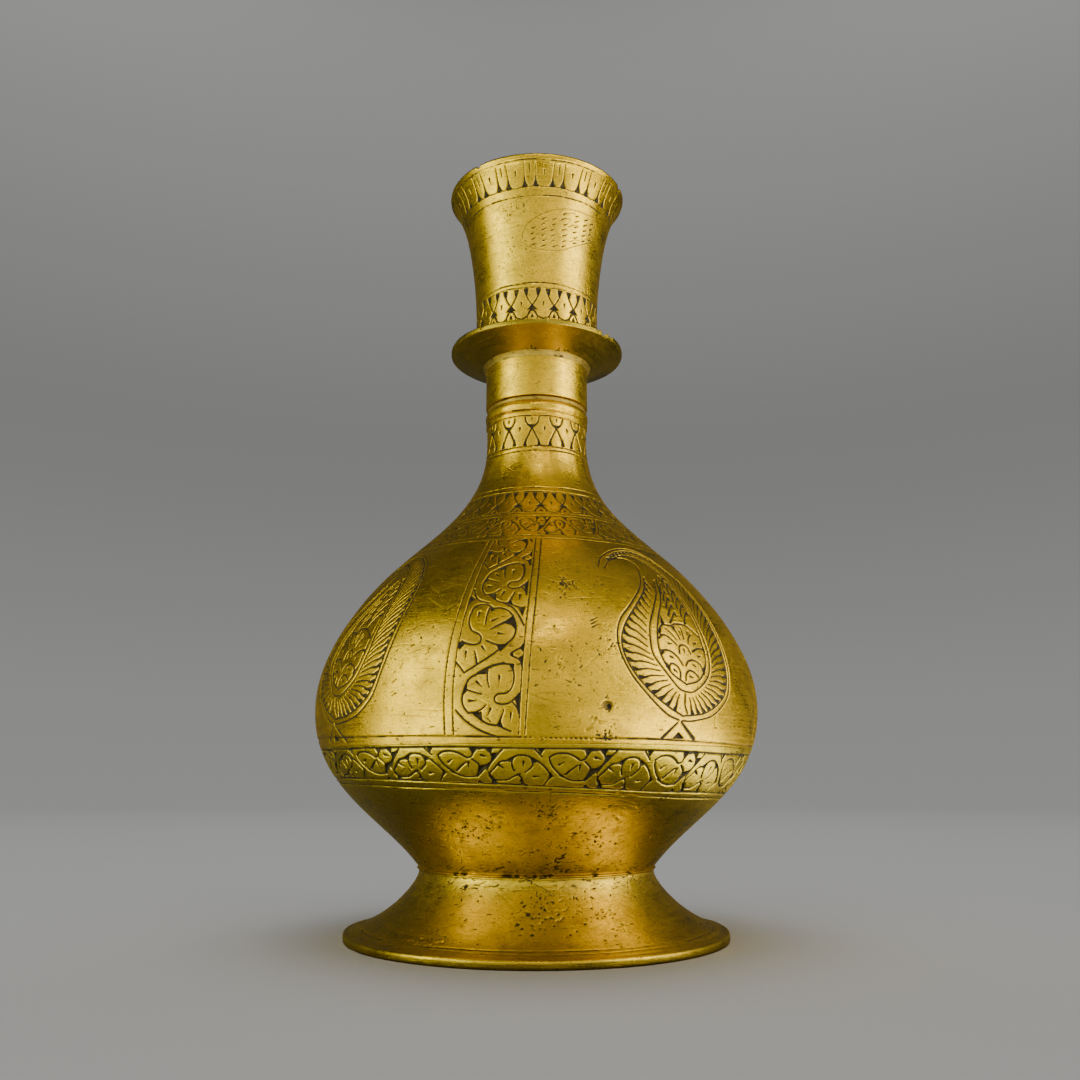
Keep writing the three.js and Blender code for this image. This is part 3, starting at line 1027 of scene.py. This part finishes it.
def make_foot(material):
    rim = filleted([(FOOT_R - 1.2, 0), (FOOT_R, 0), (FOOT_R, 1.9), (FOOT_R - 1.6, 2.1)], 0.55)
    outside = joined(rim, FOOT_CURVE[FOOT_CURVE[:, 0] < FOOT_R - 1.8])
    hollow = inset(FOOT_CURVE, WALL)
    hollow = hollow[(hollow[:, 1] > 0.4) & (hollow[:, 0] > THROAT_R + 0.3)][::-1]
    hollow = hollow[hollow[:, 1] < FOOT_TOP - 2.6]  # leaves room for the ring round the throat
    rest = joined(
        filleted([outside[-1], (THROAT_R, FOOT_TOP), (THROAT_R, FOOT_TOP - 2.4), hollow[0]], 0.4),
        hollow,
        filleted([hollow[-1], (FOOT_R - 3.2, 0), (FOOT_R - 1.2, 0)], 0.4)[1:],
    )
    foot = Piece("foot_turned", [(outside, 0.24, 1024)], rest, 0.5)
    foot.uneven = 0.9
    foot.ring(level(foot, 3.0, 31, 0.12, 40), 0.34, 0.2, gaps=faint_places(32, 0.5))
    foot.ring(level(foot, 2.55, 33, 0.1, 10), 0.26, 0.1, dark=0.5)
    pits(foot, 420, (2.4, 15.6), (0.12, 0.42), dark=1.0)
    cluster(foot, 2, 11.0, 3.2, 46, (0.15, 0.45))
    for _ in range(22):
        size = 0.22 + 0.34 * random.random() ** 2
        degrees = random.normal(4, 14)
        height = random.uniform(5.5, 14.0)
        round_pit(foot, degrees, height, size, 0.12, random.uniform(0.6, 0.95))
    cluster(foot, -32, 4.5, 1.6, 24, (0.12, 0.3))
    cluster(foot, 24, 9.0, 2.6, 30)
    for degrees, height in ((-38, 3.6), (-33, 3.2), (6, 9), (30, 7), (160, 8)):
        glints(foot, degrees, height, 1.5, 16)
    dashes(foot, 200, (2.4, 15.4), (0.3, 1.3))
    # A denser band of dark nicks on the foot's top by the waist: nicks, and painted shade that dims the
    # reflection along the join.
    dashes(foot, 170, (13.4, 15.9), (0.5, 2.6))
    scratches(foot, 90, (2.4, 15.4))
    return foot.build(material)


def make_lower_bowl(material):
    under = filleted(
        [(0, SEAT - 3.0), (14, SEAT - 2.8), (THROAT_R, SEAT - 2.0), (THROAT_R, SEAT), (WAIST_R, SEAT)], 0.3
    )
    plain = between(LOWER_CURVE, SEAT, BAND_FLOOR)
    banded = between(LOWER_CURVE, BAND_FLOOR, SEAM)
    hollow = between(inset(LOWER_CURVE, WALL), SEAT + 2.5, SEAM - 1.0)[::-1]
    tongue = SEAM_R - WALL / 2 - 0.05
    rest = joined(
        filleted([(SEAM_R, SEAM), (tongue, SEAM), (tongue, SEAM + 1.7), (tongue - 0.7, SEAM + 1.7)], 0.1),
        hollow,
        filleted([hollow[-1], (24, SEAT + 0.6), (14, SEAT - 0.3), (0, SEAT - 0.6)], 2.0)[1:],
    )
    skins = [(under, 0.8, 256), (plain, 0.25, 1024), (banded, 0.17, 2048)]
    bowl = Piece("lower_bowl_turned", skins, rest, 1.2)
    bowl.uneven = 0.8
    base = bowl.along(36.2)
    band_top = hand_cut(base + 8.75, 0.7, 75, 11)
    band_low = hand_cut(base - 0.6, 2.6, 75, 12)
    border = hand_cut(base - 2.1, 2.6, 78, 13)
    bowl.ring(band_top, 0.34, 0.26, gaps=faint_places(18, 0.75))
    bowl.ring(band_low, 0.32, 0.24, gaps=faint_places(14, 0.6))
    bowl.ring(border, 0.28, 0.22, gaps=faint_places(15, 0.45))
    scroll_band(bowl, band_low, band_top, -4.7, 1.0, SCROLL_REPEATS * SCROLL_WIDTH / (2 * math.pi))
    pits(bowl, 520, (17.5, 34.5), (0.14, 0.45), dark=0.9)
    for degrees, height, spread, count, sizes in (
        (3, 30.5, 2.4, 46, (0.14, 0.42)),
        (-22, 27.0, 2.6, 60, (0.14, 0.4)),
        (18, 24.0, 3.0, 40, (0.14, 0.42)),
        (8, 18.6, 2.0, 34, (0.15, 0.5)),
    ):
        cluster(bowl, degrees, height, spread, count, sizes)
    spots = [(-30, 25), (-12, 29), (-4, 21), (4, 31), (10, 26), (24, 31), (120, 24), (200, 28)]
    for degrees, height in spots:
        glints(bowl, degrees, height, 2.6, 18)
    dashes(bowl, 260, (17.5, 34.8), (0.2, 1.3))
    # A denser band of dark nicks on the bowl just above the waist: nicks, and painted shade that dims the
    # reflection along the join.
    dashes(bowl, 130, (17.2, 19.2), (0.5, 2.6))
    scratches(bowl, 160, (17.5, 35.0))
    return bowl.build(material)


def make_upper_bowl(material):
    belly = joined(between(LOWER_CURVE, SEAM, BELLY_Z)[:-1], UPPER_CURVE)
    shoulder = between(NECK_CURVE, SHOULDER[1], NECK_LOW)
    neck = joined(
        between(NECK_CURVE, NECK_LOW, 125.9),
        (NECK_R, 130.1),
        bead(130.15, 131.7, 0.35),
        bead(131.95, 134.2, 0.5),
        (NECK_R, NECK_TOP),
    )
    bore = NECK_R - 1.9
    hollow = inset(joined(belly, NECK_CURVE[1:]), WALL)
    hollow = hollow[(hollow[:, 1] > SEAM + 2.6) & (hollow[:, 1] < 121.0)][::-1]
    skirt = SEAM_R - WALL / 2 + 0.05
    rest = joined(
        filleted([(NECK_R, NECK_TOP), (bore, NECK_TOP), (bore, 122.5), hollow[0]], 0.3),
        hollow,
        filleted(
            [hollow[-1], (skirt - 0.7, SEAM + 2), (skirt, SEAM + 2), (skirt, SEAM), (SEAM_R, SEAM)], 0.1
        )[1:],
    )
    skins = [(belly, 0.17, 2048), (shoulder, 0.17, 1024), (neck, 0.17, 512)]
    bowl = Piece("upper_bowl_turned", skins, rest, 1.2)
    bowl.uneven = 0.8

    base = bowl.along(45.9)  # the line that the paisleys and panels stand on
    height = bowl.along(92.4) - base
    bowl.ring(hand_cut(base - 0.05, 0.9, 75, 16), 0.3, 0.24, gaps=faint_places(17, 0.6, (-3, 13)))
    for z, width, seed in (
        [(92.4, 0.28, 21), (93.5, 0.3, 22), (100.0, 0.28, 23), (100.9, 0.28, 24), (108.0, 0.3, 25)]
        + [(109.4, 0.26, 26), (120.5, 0.26, 27), (121.7, 0.3, 28), (130.1, 0.26, 29), (131.82, 0.26, 30)]
    ):
        bowl.ring(level(bowl, z, seed, 0.12, seed * 40), width, 0.2, gaps=faint_places(seed, 0.55))

    bowl.limits = (base - 0.1, base + height)
    for quarter in range(4):
        scroll_panel(bowl, -10.3 + 90 * quarter, base, height)
        paisley(Place(bowl, 37 + 90 * quarter, base, r=BELLY_R))
    bowl.limits = (-math.inf, math.inf)

    bowl.boldness = 0.65
    scale = 2 * math.pi * bowl.radius_at(bowl.along(96.5)) / (SCROLL_REPEATS * SCROLL_WIDTH)
    scroll_band(bowl, level(bowl, 93.7, 41), level(bowl, 99.8, 42), -16, scale)
    kite_band(bowl, level(bowl, 101.2, 43), level(bowl, 107.8, 44), 25, -4.5)
    bowl.boldness = 1.0
    neck_band(bowl, level(bowl, 121.9, 45), level(bowl, 129.9, 46), 13, -5)

    pits(bowl, 420, (47, 90), (0.1, 0.34))
    pits(bowl, 70, (110.5, 120), (0.1, 0.25))
    cluster(bowl, 10, 78.5, 2.8, 44, (0.12, 0.36))
    cluster(bowl, 8, 79.5, 1.1, 26, (0.2, 0.5))
    cluster(bowl, 17, 66.0, 2.4, 52, (0.12, 0.38))
    cluster(bowl, 8, 58.0, 4.0, 46)
    round_pit(bowl, 15.4, 52.5, 1.2, 0.16, 0.4)
    round_pit(bowl, 15.9, 52.3, 0.6, 0.34, 0.95)
    cluster(bowl, 15.2, 52.8, 1.2, 14, (0.12, 0.3))
    for z in (69.2, 70.0, 70.8):
        start = (math.radians(13.2), bowl.along(z))
        bowl.groove(start, (start[0] + 0.03, start[1] + 0.8), 0.28, 0.12, 0.14, 0.9)
    cluster(bowl, -27, 66.0, 5.0, 40, (0.1, 0.26))
    cluster(bowl, 15.5, 46.4, 0.8, 20, (0.15, 0.4))
    for degrees, height in ((12, 46.2), (5, 60), (22, 56), (-34, 56), (130, 70), (210, 60)):
        glints(bowl, degrees, height, 2.4, 8)
    dashes(bowl, 520, (47, 91), (0.2, 1.2))
    scratches(bowl, 260, (47, 90))
    scratches(bowl, 40, (110, 120), lengths=(1, 5))
    turn = 0.27  # the deepest round pit, on the right of the front
    bowl.dents = [((math.sin(turn) * 55.6, -math.cos(turn) * 55.6, 52.5), 1.3, (0, 0.35, 0))]
    return bowl.build(material)


def make_sleeve(material):
    outside = filleted(
        [(12.2, SLEEVE_LOW), (SLEEVE_R, SLEEVE_LOW), (SLEEVE_R, SLEEVE_TOP), (SPIGOT_R, SLEEVE_TOP)], 0.25
    )
    bore = 9.9
    rest = filleted(
        [(SPIGOT_R, SLEEVE_TOP), (12.4, 142.8), (bore, 142.8), (bore, bottom("neck_sleeve"))]
        + [(11.5, bottom("neck_sleeve")), (11.5, SLEEVE_LOW), (12.2, SLEEVE_LOW)],
        0.15,
    )
    sleeve = Piece("neck_sleeve_turned", [(outside, 0.2, 512)], rest, 0.6)
    sleeve.uneven = 0.5
    pits(sleeve, 60, (136.8, 147.2), (0.1, 0.26), dark=0.7)
    scratches(sleeve, 40, (136.8, 147.2), lengths=(1, 5))
    return sleeve.build(material)


def make_flange(material):
    edge_low = FLANGE_TOP - FLANGE_EDGE
    outside = filleted(
        [(SLEEVE_R, SLEEVE_TOP), (FLANGE_R, edge_low), (FLANGE_R, FLANGE_TOP)]
        + [(FLANGE_SEAT_R, CUP_SEAT)],
        0.35,
    )
    rest = filleted(
        [(FLANGE_SEAT_R, CUP_SEAT), (SPIGOT_R, CUP_SEAT), (SPIGOT_R, SLEEVE_TOP)]
        + [(SLEEVE_R, SLEEVE_TOP)],
        0.1,
    )
    flange = Piece("drip_flange_turned", [(outside, 0.2, 1024)], rest, 0.5)
    flange.uneven = 0.7
    for degrees in (-150, -95, -52, -3, 22, 31, 118):
        cluster(flange, degrees, SLEEVE_TOP + 0.4, 0.7, 12, (0.15, 0.4))
    nicks = [(50, 1.5, 1.1), (57, 1.0, 0.7), (43, 0.6, 0.35), (6, 0.7, -0.35), (-38, 0.6, 0.3)]
    flange.dents = [rim_dent(FLANGE_R, FLANGE_TOP - 0.4, *nick) for nick in nicks]
    return flange.build(material)


def rim_dent(r, z, degrees, size, push):
    """A nick in an edge (push inwards) or a raised burr (negative push)."""
    turn = math.radians(degrees)
    out = np.array([math.sin(turn), -math.cos(turn), 0])
    return tuple(out * r + (0, 0, z)), size, tuple(-out * push + (0, 0, -0.6 * push))


def make_cup(material):
    lip = filleted(
        [CUP_CURVE[-1], (LIP_R, CUP_TOP - 0.7), (LIP_R - 0.2, CUP_TOP), (LIP_R - 1.5, CUP_TOP)], 0.35
    )
    outside = joined((CUP_R, CUP_SEAT), CUP_CURVE, lip[1:])
    hollow = inset(CUP_CURVE, CUP_WALL)[::-1]
    throat = 10.9
    tail = 12.3
    low = bottom("mouth_cup")
    rest = joined(
        (LIP_R - 1.5, CUP_TOP),
        hollow[2:],
        filleted(
            [hollow[-1], (CUP_R - CUP_WALL, CUP_SEAT + 2), (throat, CUP_SEAT + 2), (throat, low)]
            + [(tail, low), (tail, CUP_SEAT), (CUP_R, CUP_SEAT)],
            0.8,
        )[1:],
    )
    cup = Piece("mouth_cup_turned", [(outside, 0.17, 1024)], rest, 0.5)
    cup.uneven = 0.6
    for z, seed, swing, phase, width, depth, least in (
        (198.2, 51, 0.1, 30, 0.28, 0.16, 0.5),
        (190.2, 52, 0.35, -120, 0.3, 0.18, 0.5),
        (166.0, 53, 0.15, 0, 0.28, 0.18, 0.5),
        (164.8, 54, 0.1, 0, 0.22, 0.12, 0.4),
    ):
        cup.ring(level(cup, z, seed, swing, phase), width, depth, gaps=faint_places(seed, least))
    lip_band(cup, level(cup, 191.8, 55, 0.1), level(cup, 198.0, 56, 0.1), 18, -14.6)
    cup.boldness = 0.85
    kite_band(cup, level(cup, 156.0, 57), level(cup, 164.6, 58, 0.05), 18, -14.0)
    cup.boldness = 1.0
    hatched_leaf(Place(cup, 26, cup.along(180.0), r=18.5))
    pits(cup, 150, (167, 190), (0.1, 0.26), dark=0.8)
    for degrees, height, spread, count, sizes in (
        (-22, 186.5, 1.2, 14, (0.12, 0.3)),
        (-12, 187.0, 1.0, 10, (0.12, 0.3)),
        (-18, 176.0, 2.4, 22, (0.1, 0.26)),
        (-6, 171.0, 1.6, 12, (0.1, 0.26)),
    ):
        cluster(cup, degrees, height, spread, count, sizes)
    scratches(cup, 90, (167, 190), lengths=(1, 6))
    nicks = [(-40, 1.1, 0.9), (-36, 0.7, 0.3), (70, 1.6, 0.5), (150, 1.0, 0.4), (-110, 0.8, 0.3)]
    cup.dents = [rim_dent(LIP_R - 0.4, CUP_TOP - 0.2, *nick) for nick in nicks]
    return cup.build(material)


def make_waist_solder(material):
    low = (WAIST_R - 0.1, FOOT_TOP)
    high = (WAIST_R - 0.1, SEAT)
    inner_r = THROAT_R + 0.2
    outside = filleted([low, (WAIST_R + 0.55, FOOT_TOP + 0.3), high], 0.3)
    rest = filleted([high, (inner_r, SEAT), (inner_r, FOOT_TOP), low], 0.1)
    ring = Piece("waist_solder_run", [(outside, 0.1, 1024)], rest, 0.3)
    ring.uneven = 0.5
    for degrees in (-62, -39, -34, -14, -12, -9, -3, -1, 4, 26, 47, 95, 140, 171, 205, 244):
        cluster(ring, degrees, (FOOT_TOP + SEAT) / 2, 0.5, 12, (0.2, 0.55))
    return ring.build(material)


def make_neck_solder(material):
    outside = filleted(
        [(12.6, NECK_TOP), (12.9, NECK_TOP), (13.55, NECK_TOP + 0.45), (13.55, SLEEVE_LOW - 0.45)]
        + [(12.9, SLEEVE_LOW), (12.6, SLEEVE_LOW)],
        0.15,
    )
    rest = filleted([(12.6, SLEEVE_LOW), (11.6, SLEEVE_LOW), (11.6, NECK_TOP), (12.6, NECK_TOP)], 0.1)
    ring = Piece("neck_solder_run", [(outside, 0.1, 512)], rest, 0.3)
    return ring.build(material)


def make_flange_solder(material):
    slope = (FLANGE_TOP - FLANGE_EDGE - SLEEVE_TOP) / (FLANGE_R - SLEEVE_R)
    outside = bezier(
        (SLEEVE_R, SLEEVE_TOP - 1.0),
        (SLEEVE_R + 0.2, SLEEVE_TOP - 0.4),
        (SLEEVE_R + 0.5, SLEEVE_TOP),
        (SLEEVE_R + 1.0, SLEEVE_TOP + slope),
        24,
    )
    rest = filleted([outside[-1], (SLEEVE_R, SLEEVE_TOP), outside[0]], 0.02)
    ring = Piece("flange_solder_run", [(outside, 0.1, 512)], rest, 0.3)
    return ring.build(material)


# ----------------------------------------
# Materials
# ----------------------------------------


class Shader:
    """A short way to write node graphs."""

    def __init__(self, name):
        self.material = bpy.data.materials.new(name)
        self.material.use_nodes = True
        self.nodes = self.material.node_tree.nodes
        self.links = self.material.node_tree.links
        self.surface = self.nodes["Principled BSDF"]
        self.place = self.nodes.new("ShaderNodeTexCoord").outputs["Object"]

    def give(self, name, value):
        """Sets or feeds an input of the surface."""
        self.feed(self.surface.inputs[name], value)

    def feed(self, socket, value):
        if isinstance(value, bpy.types.NodeSocket):
            self.links.new(value, socket)
        else:
            socket.default_value = value

    def attribute(self, name):
        node = self.nodes.new("ShaderNodeAttribute")
        node.attribute_name = name
        return node.outputs["Fac"]

    def math(self, operation, a, b=0.0):
        node = self.nodes.new("ShaderNodeMath")
        node.operation = operation
        self.feed(node.inputs[0], a)
        self.feed(node.inputs[1], b)
        return node.outputs[0]

    def span(self, value, low, high, to_low=0.0, to_high=1.0):
        """The value mapped from one span to another, held at the ends."""
        node = self.nodes.new("ShaderNodeMapRange")
        for socket, number in zip(node.inputs[0:5], (value, low, high, to_low, to_high)):
            self.feed(socket, number)
        return node.outputs[0]

    def stretched(self, scale, turn=(0, 0, 0)):
        """The place in millimetres, times a scale for each direction, after a turn in degrees."""
        node = self.nodes.new("ShaderNodeMapping")
        node.vector_type = "POINT"
        self.links.new(self.place, node.inputs["Vector"])
        node.inputs["Rotation"].default_value = [math.radians(t) for t in turn]
        node.inputs["Scale"].default_value = [s / MM for s in scale]
        return node.outputs[0]

    def noise(self, scale, turn=(0, 0, 0), detail=3.0, roughness=0.55):
        node = self.nodes.new("ShaderNodeTexNoise")
        self.links.new(self.stretched(scale, turn), node.inputs["Vector"])
        node.inputs["Scale"].default_value = 1.0
        node.inputs["Detail"].default_value = detail
        node.inputs["Roughness"].default_value = roughness
        return node.outputs["Fac"]

    def mix(self, share, first, second):
        node = self.nodes.new("ShaderNodeMix")
        node.data_type = "RGBA"
        self.feed(node.inputs[0], share)
        self.feed(node.inputs[6], first)
        self.feed(node.inputs[7], second)
        return node.outputs[2]

    def bump(self, height, distance, under=None):
        node = self.nodes.new("ShaderNodeBump")
        node.inputs["Distance"].default_value = distance * MM
        node.inputs["Strength"].default_value = 1.0
        self.feed(node.inputs["Height"], height)
        if under is not None:
            self.links.new(under, node.inputs["Normal"])
        return node.outputs[0]


def colour(red, green, blue):
    """An opaque colour."""
    return (red, green, blue, 1.0)


def aged_brass(name, tones, gloss, shift):
    """Hand-polished old brass: turning lines, scratches, tarnish, freckles and black in the cuts.

    The tones are bright, warm and dull; gloss is the roughness, and shift sets each pattern elsewhere.
    """
    shader = Shader(name)
    bright, warm, dull = (colour(*tone) for tone in tones)
    cut = shader.attribute("cut")
    broad = shader.noise((0.035, 0.035, 0.05), (shift, 0, 0), 3)
    patches = shader.noise((0.16, 0.16, 0.22), (0, shift, 0), 5, 0.65)
    grime = shader.noise((0.7, 0.7, 0.8), (shift, shift, 0), 6, 0.7)
    freckles = shader.noise((1.0, 1.0, 1.5), (0, shift, 30), 3, 0.6)
    turning = shader.noise((0.06, 0.06, 3.4), (0, 0, shift), 4, 0.7)
    brushed = shader.noise((0.6, 0.6, 5.0), (0, 0, shift), 3, 0.7)
    slant = shader.noise((0.25, 0.25, 7.0), (24, 31, shift), 2, 0.6)
    cross = shader.noise((6.0, 0.3, 0.3), (10, 42, shift), 2, 0.6)
    specks = shader.noise((1.7, 1.7, 2.3), (shift, 15, 0), 3, 0.65)

    tone = shader.mix(shader.span(broad, 0.36, 0.66), bright, warm)
    tone = shader.mix(shader.span(patches, 0.47, 0.75, 0.0, 0.8), tone, dull)
    tone = shader.mix(shader.span(brushed, 0.5, 0.7, 0.0, 0.5), tone, dull)
    tone = shader.mix(shader.span(grime, 0.57, 0.75, 0.0, 0.6), tone, colour(0.17, 0.11, 0.02))
    tone = shader.mix(shader.span(specks, 0.56, 0.72, 0.0, 0.7), tone, colour(0.22, 0.145, 0.02))
    crowded = shader.span(patches, 0.3, 0.6, 0.74, 0.63)
    freckle = shader.span(shader.math("SUBTRACT", freckles, crowded), 0.0, 0.06)
    black = shader.math("MAXIMUM", shader.math("MULTIPLY", freckle, 0.8), shader.span(cut, 0.08, 0.55))
    worn = shader.math("MULTIPLY", black, shader.span(grime, 0.3, 0.5, 0.8, 1.0))
    tone = shader.mix(worn, tone, colour(0.034, 0.025, 0.006))
    shader.give("Base Color", tone)
    shader.give("Metallic", shader.span(worn, 0.0, 1.0, 1.0, 0.35))

    rough = shader.span(patches, 0.3, 0.75, gloss - 0.06, gloss + 0.12)
    rough = shader.math("ADD", rough, shader.span(turning, 0.35, 0.7, -0.03, 0.06))
    rough = shader.math("ADD", rough, shader.span(brushed, 0.35, 0.7, -0.04, 0.07))
    rough = shader.math("ADD", rough, shader.math("MULTIPLY", worn, 0.3))
    shader.give("Roughness", rough)
    shader.give("Anisotropic", 0.35)
    tangent = shader.nodes.new("ShaderNodeTangent")
    tangent.direction_type = "RADIAL"
    tangent.axis = "Z"
    shader.give("Tangent", tangent.outputs[0])

    normal = shader.bump(turning, 0.02)
    normal = shader.bump(brushed, 0.02, normal)
    normal = shader.bump(shader.span(slant, 0.62, 0.72), 0.01, normal)
    normal = shader.bump(shader.span(cross, 0.64, 0.74), 0.01, normal)
    normal = shader.bump(grime, 0.03, normal)
    normal = shader.bump(specks, 0.025, normal)
    shader.give("Normal", normal)
    return shader.material


def soft_solder(name):
    """Dull grey solder, uneven and stained."""
    shader = Shader(name)
    lumps = shader.noise((0.5, 0.5, 1.2), (0, 0, 12), 5, 0.7)
    stains = shader.noise((0.35, 0.35, 0.5), (0, 0, 40), 4, 0.6)
    tone = shader.mix(shader.span(lumps, 0.35, 0.65), colour(0.52, 0.38, 0.06), colour(0.36, 0.26, 0.05))
    tone = shader.mix(shader.span(stains, 0.55, 0.68), tone, colour(0.05, 0.036, 0.014))
    shader.give("Base Color", tone)
    shader.give("Metallic", 0.85)
    shader.give("Roughness", shader.span(lumps, 0.3, 0.7, 0.4, 0.65))
    shader.give("Normal", shader.bump(lumps, 0.15))
    return shader.material


BRIGHT = (0.87, 0.58, 0.02)
WARM = (0.73, 0.47, 0.02)
DULL = (0.44, 0.29, 0.025)

bowl_brass = aged_brass("bowl_brass", (BRIGHT, WARM, DULL), 0.3, 0)
under_tones = ((0.82, 0.62, 0.03), (0.66, 0.49, 0.03), (0.38, 0.27, 0.03))
under_brass = aged_brass("under_brass", under_tones, 0.3, 19)
foot_tones = ((0.75, 0.53, 0.03), (0.6, 0.41, 0.03), (0.33, 0.22, 0.03))
foot_brass = aged_brass("foot_brass", foot_tones, 0.31, 37)
cup_brass = aged_brass("cup_brass", ((0.88, 0.61, 0.035), BRIGHT, DULL), 0.28, 71)
# The flange's brass tones are about half as bright as the other brass: painted shade for its dim underside.
flange_tones_painted_shade = ((0.43, 0.33, 0.03), (0.32, 0.24, 0.025), (0.3, 0.2, 0.025))
flange_brass_painted_shade = aged_brass("flange_brass_painted_shade", flange_tones_painted_shade, 0.32, 90)
solder = soft_solder("soft_solder")

made = [
    (make_foot(foot_brass), "foot", "brass"),
    (make_lower_bowl(under_brass), "lower_bowl", "brass"),
    (make_upper_bowl(bowl_brass), "upper_bowl", "brass"),
    (make_sleeve(cup_brass), "neck_sleeve", "brass"),
    (make_flange(flange_brass_painted_shade), "drip_flange", "brass"),
    (make_cup(cup_brass), "mouth_cup", "brass"),
    (make_waist_solder(foot_brass), "waist_solder", "solder"),
    (make_neck_solder(solder), "neck_solder", "solder"),
    (make_flange_solder(solder), "flange_solder", "solder"),
]
for piece, node, slot in made:
    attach(piece, "root")
    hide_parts(node)


# ----------------------------------------
# Floor, light and camera
# ----------------------------------------


FLOOR_R = 1.0
STUDIO_R = 1.7
STUDIO_TOP = 2.6


def stage():
    """A round floor that sweeps up into a wall all the way round: pale paper to the eye, and painted
    near-black for every other ray, a painted shade that the brass mirrors.
    """
    sweep = bezier((FLOOR_R, 0), (1.45, 0), (STUDIO_R, 0.25), (STUDIO_R, 0.7), 24)
    profile = [*sweep, (STUDIO_R, STUDIO_TOP)]
    columns = 96
    turn = evenly_round(columns)
    vertices = [(r * math.cos(t), r * math.sin(t), z) for r, z in profile for t in turn]
    faces = [list(range(columns))]
    for ring in range(len(profile) - 1):
        for column in range(columns):
            low = ring * columns + column
            low_next = ring * columns + (column + 1) % columns
            faces.append([low_next, low, low + columns, low_next + columns])
    mesh = bpy.data.meshes.new("studio_floor")
    mesh.from_pydata(vertices, [], faces)
    mesh.polygons.foreach_set("use_smooth", [True] * len(faces))
    floor = bpy.data.objects.new("studio_floor", mesh)
    bpy.context.scene.collection.objects.link(floor)
    shader = Shader("studio_paper")
    seen = shader.nodes.new("ShaderNodeLightPath").outputs["Is Camera Ray"]
    # Camera rays see pale paper; all other rays see 0.13 grey, painted shade that darkens the floor and
    # wall wherever the brass mirrors them or takes light from them.
    paper_with_painted_shade = shader.mix(seen, colour(0.13, 0.13, 0.13), colour(0.6, 0.6, 0.59))
    shader.give("Base Color", paper_with_painted_shade)
    shader.give("Roughness", 0.9)
    shader.give("Specular IOR Level", 0.0)
    mesh.materials.append(shader.material)


def soft_box(name, place, size, radiance, tint=(1, 1, 1), aim=(0, 0, 0.07), mirrored=True):
    """A rectangular light, out of the picture: one that the brass mirrors, or one that lights the floor."""
    light = bpy.data.lights.new(name, "AREA")
    light.shape = "RECTANGLE"
    light.size, light.size_y = size
    light.energy = radiance * math.pi * size[0] * size[1]
    light.color = tint
    lamp = bpy.data.objects.new(name, light)
    lamp.location = place
    lamp.rotation_euler = (Vector(aim) - Vector(place)).to_track_quat("-Z", "Y").to_euler()
    lamp.visible_camera = False
    lamp.visible_glossy = mirrored
    lamp.visible_diffuse = not mirrored
    bpy.context.scene.collection.objects.link(lamp)


def lights():
    """The windows, table and lamps that the brass mirrors, and one light over the floor."""
    yellow = (0.98, 0.98, 0.6)
    peach = (1.0, 0.93, 0.78)
    soft_box("window_left", (-0.385, -0.185, 0.20), (0.19, 0.44), 3.3, yellow, (0, 0, 0.1))
    soft_box("curtain_left", (-0.34, -0.36, 0.20), (0.40, 0.40), 1.2, yellow, (0, 0, 0.06))
    soft_box("window_right", (0.40, -0.165, 0.22), (0.26, 0.46), 4.7, peach, (0, 0, 0.1))
    soft_box("curtain_right", (0.30, -0.46, 0.24), (0.40, 0.40), 0.8, peach, (0, 0, 0.06))
    soft_box("table_left", (-0.19, -0.15, 0.003), (0.22, 0.20), 4.4, yellow, (-0.19, -0.15, 1))
    soft_box("table_front", (0.0, -0.12, 0.003), (0.16, 0.12), 0.35, (1.0, 0.92, 0.7), (0, -0.12, 1))
    soft_box("table_right", (0.20, -0.12, 0.003), (0.24, 0.26), 4.6, peach, (0.20, -0.12, 1))
    soft_box("table_far", (0.0, -0.56, 0.003), (0.5, 0.3), 0.9, (1.0, 0.94, 0.75), (0, -0.56, 1))
    soft_box("room", (0.0, -0.9, 0.32), (0.7, 0.5), 0.72, (1.0, 0.93, 0.82))
    soft_box("ceiling", (0.25, -0.1, 0.9), (0.7, 0.7), 0.22, (1.0, 0.92, 0.8))
    soft_box("pale_lamp", (-0.005, -0.22, 0.35), (0.035, 0.08), 11.0, (1.0, 0.93, 0.7), (0, -0.02, 0.1))
    soft_box("amber_lamp", (0.055, -0.22, 0.35), (0.08, 0.06), 6.0, (1.0, 0.82, 0.45), (0, -0.02, 0.1))
    soft_box("overhead", (0.0, 0.0, 2.2), (2.4, 2.4), 1.9, (1, 1, 1), (0, 0, 0), mirrored=False)
    world = bpy.data.worlds.new("studio_air")
    world.use_nodes = True
    air = world.node_tree.nodes["Background"].inputs
    air["Color"].default_value = colour(0.62, 0.63, 0.66)
    air["Strength"].default_value = 0.1
    bpy.context.scene.world = world


EYE_SIDE = 0.0009
EYE_AWAY = 1.33485  # in heights of the bottle, as is the next one
EYE_HEIGHT = 0.1934
EYE_TILT = 12.9  # degrees upwards


def camera():
    """The eye stands level with the lower belly, close by, and looks up a little."""
    height = CUP_TOP * MM
    lens = bpy.data.cameras.new("eye")
    lens.sensor_width = 36
    lens.lens = 34.09
    lens.clip_start = 0.01
    eye = bpy.data.objects.new("eye", lens)
    eye.location = (EYE_SIDE, -EYE_AWAY * height, EYE_HEIGHT * height)
    eye.rotation_euler = (math.radians(90 + EYE_TILT), 0, 0)
    bpy.context.scene.collection.objects.link(eye)
    bpy.context.scene.camera = eye


stage()
lights()
camera()
